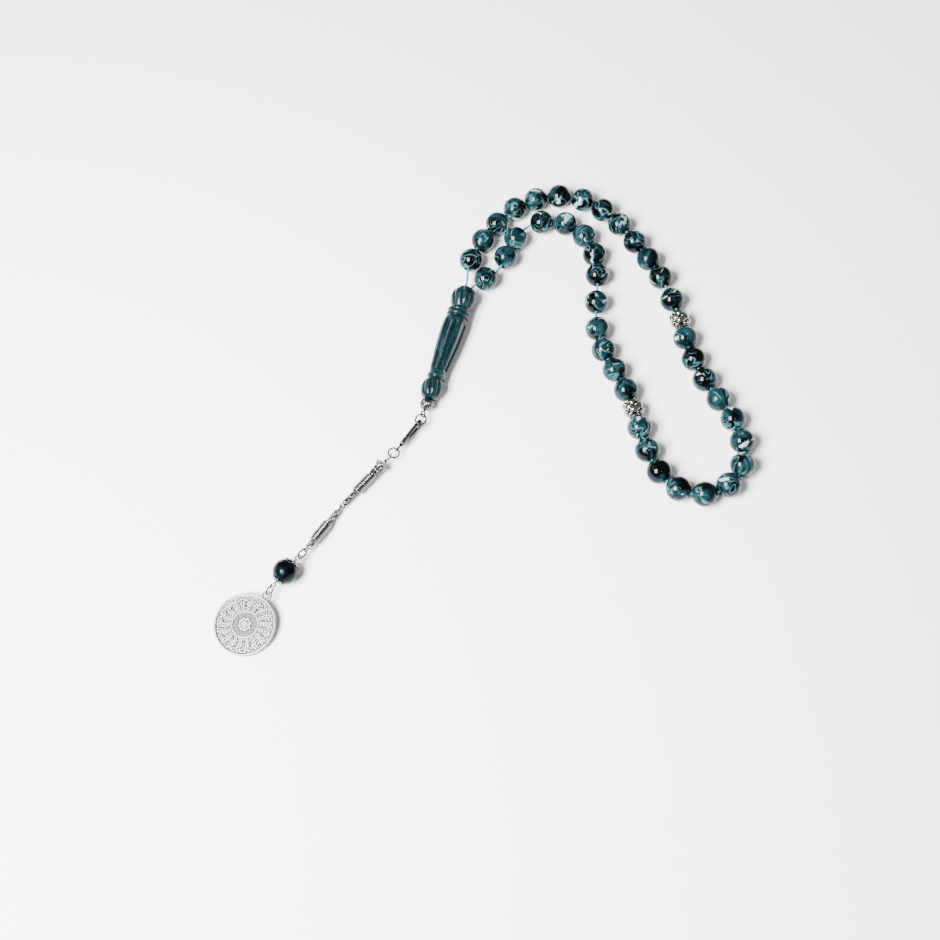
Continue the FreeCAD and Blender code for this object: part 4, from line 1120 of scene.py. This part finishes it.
def lace_cap(shape, side, spread, petals):
    """Pierced cap on one end of the drop bead: scallops, holes and a raised edge."""
    turn = turns(LACE_COLUMNS)[None, :]
    wave = np.cos(petals * turn)
    reach = math.radians(spread)
    lean = np.linspace(0.1, 1.0, LACE_ROWS)[:, None] * reach * (1 + 0.1 * wave)
    share = lean / reach
    hole = (np.abs(share - 0.72) < 0.13) & (wave > 0.25)
    slit = (np.abs(share - 0.42) < 0.08) & (wave < -0.3)
    open_row = hole | slit
    edge = ridge(share, 1.0, 0.09) + 0.6 * ridge(share, 0.56, 0.05)
    outer = LACE_OUTER_RADIUS - LACE_EDGE_HEIGHT + LACE_EDGE_HEIGHT * edge
    skins = []
    for radius in (outer, LACE_INNER_RADIUS):
        around = radius * np.sin(lean)
        skin = np.stack([
            side * radius * np.cos(lean),
            around * np.cos(turn),
            side * around * np.sin(turn),
        ], axis=-1)
        skins.append(skin.reshape(-1, 3))
    points = np.concatenate(skins)
    layer = LACE_ROWS * LACE_COLUMNS
    # Painted shade through the cavity value: full on the inner skin that faces the bead, and lighter
    # on the outer skin away from its raised edges.
    cavity = np.concatenate([np.clip(0.7 - edge.ravel(), 0, 1) * 0.5, np.ones(layer)])
    faces = pierced_faces(~(open_row[:-1] & open_row[1:]), layer)
    used = sorted({index for face in faces for index in face})
    renumber = {old: new for new, old in enumerate(used)}
    faces = [tuple(renumber[index] for index in face) for face in faces]
    shape.add(points[used], faces, cavity[used])


def make_drop_fittings(material):
    """Pin with an eye at each end, and the two pierced caps."""
    shape = Shape()
    pin_end = DROP_EYE_STATION - DROP_EYE_RADIUS
    shape.tube([(-pin_end, 0, 0), (0, 0, 0), (pin_end, 0, 0)], DROP_PIN_RADIUS, sides=16)
    for side in (-1, 1):
        eye = hoop(side * DROP_EYE_STATION, DROP_EYE_RADIUS, DROP_EYE_RADIUS)
        shape.tube(eye, EYE_WIRE_RADIUS, sides=12, closed=True)
    for cap in LACE_CAPS:
        lace_cap(shape, *cap)
    finished(
        "drop_pin_and_lace_caps", shape, drop_place(), "drop_pin", material,
        ["drop_bead_pin_and_caps"],
    )


# ---- medallion ---------------------------------------------------------------
MEDALLION_ANGLES = (-136.0, 6.1, 0.0)
MEDALLION_RING_WIRE = 0.3
MEDALLION_RADIUS = 12.2
MEDALLION_HALF = 0.9
MEDALLION_CENTRE = 15.22
MEDALLION_COLUMNS = 1080
FACE_ROWS = 230
FACE_RADIUS = 11.4
FACE_HEIGHT = 0.65
FACE_MIDDLE = 0.05
ENGRAVING_DEPTH = 0.1
BAIL_RADIUS = 1.65
BAIL_WIRE = 0.42
ROUNDEL_RADIUS = 5.2
BAND_RADIUS = 11.3
BAND_SPAN = ((5.75, 6.0), (10.75, 11.0))
PETAL_SPAN = ((5.5, 5.6), (5.95, 6.1))
# Radius and half width of each engraved circle.
ENGRAVED_CIRCLES = ((11.15, 0.09), (5.45, 0.09), (4.75, 0.1))
STAR_POINTS = 8
STAR_RADIUS = 3.1
INNER_STAR_SHARE = 0.62
ROSETTE_RADIUS = 0.95
# Radius and height of the rim and the back, from the face's edge to the back's middle.
MEDALLION_RIM = (
    (11.42, 0.76), (11.5, 0.86), (11.6, MEDALLION_HALF), (11.75, MEDALLION_HALF),
    (11.95, MEDALLION_HALF), (12.08, 0.87), (12.16, 0.8),
    (MEDALLION_RADIUS, 0.68), (MEDALLION_RADIUS, 0.1),
    (MEDALLION_RADIUS, -0.1), (MEDALLION_RADIUS, -0.68), (12.16, -0.82),
    (12.05, -MEDALLION_HALF), (11.5, -MEDALLION_HALF), (6.0, -MEDALLION_HALF),
    (FACE_MIDDLE, -MEDALLION_HALF),
)


def star_roundel(radius, turn):
    """A star in a star round a rosette, on a sunken field that gets painted shade."""
    step = TAU / STAR_POINTS
    fold = np.minimum(turn % step, step - turn % step)
    star_edge = STAR_RADIUS * math.cos(math.pi / 4) / np.cos(math.pi / 4 - fold)
    star = ridge(radius, star_edge, 0.16)
    inner_star = ridge(radius, star_edge * INNER_STAR_SHARE, 0.13)
    rosette = ridge(radius, ROSETTE_RADIUS + 0.3 * np.cos(STAR_POINTS * turn), 0.13)
    field = soft_band(radius, (star_edge, star_edge + 0.15), (4.45, 4.6))
    return np.clip(star + inner_star + rosette + 0.85 * field, 0, 1)


def woven_band(radius, turn):
    """Interlaced strokes between the rim and a ring of small petals; no lettering."""
    across = TAU * (radius - ROUNDEL_RADIUS) / (BAND_RADIUS - ROUNDEL_RADIUS)
    weave = (
        np.cos(18 * turn) * np.cos(2.5 * across + 0.4)
        + 0.75 * np.cos(36 * turn + 2.2 * np.sin(2 * across))
        + 0.5 * np.cos(5 * across) * np.sin(9 * turn + 1.3)
    )
    strokes = ridge(weave, 0, 0.46) * soft_band(radius, *BAND_SPAN)
    petals = ridge(np.cos(24 * turn), 0, 0.35) * soft_band(radius, *PETAL_SPAN)
    return strokes + petals


def engraving(radius, turn):
    """Depth of the medallion's ornament, 0 on the polished face to 1 in a groove."""
    inside = radius < ROUNDEL_RADIUS
    circles = sum(ridge(radius, middle, width) for middle, width in ENGRAVED_CIRCLES)
    ornament = np.where(inside, star_roundel(radius, turn), woven_band(radius, turn))
    return np.clip(ornament + circles, 0, 1)


def make_medallion(material):
    """Thick disc with a raised rim, an engraved band, a star roundel and a bail."""
    rim_radii, rim_heights = np.array(MEDALLION_RIM).T
    face_radii = np.linspace(FACE_MIDDLE, FACE_RADIUS, FACE_ROWS)
    radii = np.concatenate([face_radii, rim_radii])[:, None]
    heights = np.concatenate([np.full(FACE_ROWS, FACE_HEIGHT), rim_heights])[:, None]
    turn = turns(MEDALLION_COLUMNS)[None, :]
    groove = engraving(radii, turn)
    groove[FACE_ROWS:] = 0
    points = np.stack([
        MEDALLION_CENTRE + radii * np.cos(turn),
        radii * np.sin(turn),
        heights - ENGRAVING_DEPTH * groove,
    ], axis=-1)
    shape = Shape()
    # The engraving depth also serves as the cavity value, which puts painted shade in the grooves
    # and on the sunken field.
    shape.grid(points, cavity=groove, cap_ends=True)
    shape.faces = [tuple(reversed(face)) for face in shape.faces]
    shape.tube(hoop(BAIL_RADIUS, BAIL_RADIUS, BAIL_RADIUS, 48), BAIL_WIRE, sides=14, closed=True)
    step_back = (MEDALLION_RING_WIRE + BAIL_WIRE + LINK_CLEARANCE) * MM
    place = link_place(joint_point("medallion_swing"), *MEDALLION_ANGLES)
    place = place @ Matrix.Translation((-step_back, 0, 0))
    finished(
        "engraved_medallion", shape, place, "medallion", material,
        ["medallion"],
    )


# ---- build -------------------------------------------------------------------
# CAD pieces whose shape is right as it is.
WIRE_PIECES = (
    "imame_eye_pin",
    "upper_jump_ring",
    "clasp_body",
    "clasp_lever",
    "clasp_swivel",
    "lower_jump_ring",
    "oval_link",
    "medallion_ring",
)
# Dark colours of the painted shade that the cavity value lays in the recesses of each metal.
RECESS_SHADE = (0.003, 0.003, 0.003)
LACE_RECESS_SHADE = (0.004, 0.004, 0.004)
SEPARATOR_RECESS_SHADE = (0.0015, 0.0015, 0.0015)
MEDALLION_RECESS_SHADE = (0.009, 0.0095, 0.01)


def repaint(names, material):
    """Gives CAD pieces whose shape is right their finish."""
    for name in names:
        mesh = nodes[name].data
        mesh.materials.clear()
        mesh.materials.append(material)


make_camera()
make_cord(cord_fabric())
make_lights()
make_floor()

bright_silver = metal("bright_silver", (0.19, 0.187, 0.18), RECESS_SHADE, 0.1, 0.24)
aged_silver = metal("aged_silver", (0.085, 0.083, 0.079), RECESS_SHADE, 0.14, 0.3)
lace_silver = metal("lace_silver", (0.26, 0.255, 0.24), LACE_RECESS_SHADE, 0.12, 0.26)
dark_wire = metal("dark_wire", (0.024, 0.024, 0.0235), RECESS_SHADE, 0.14, 0.3)
separator_silver = metal(
    "separator_silver", (0.33, 0.32, 0.295), SEPARATOR_RECESS_SHADE, 0.05, 0.14
)
medallion_silver = metal(
    "medallion_silver", (0.19, 0.193, 0.197), MEDALLION_RECESS_SHADE, 0.24, 0.4,
    grain=1.2, relief=0.15, cavity_share=0.95,
)

make_beads(marbled_resin())
make_separators(separator_silver)
make_leader(leader_resin())
make_cap_bead(bright_silver)
make_crown(bright_silver)
make_upper_chain(aged_silver, bright_silver)
make_lower_chain(aged_silver, bright_silver)
make_drop_bead(drop_resin())
make_drop_fittings(lace_silver)
make_medallion(medallion_silver)
repaint(WIRE_PIECES, dark_wire)
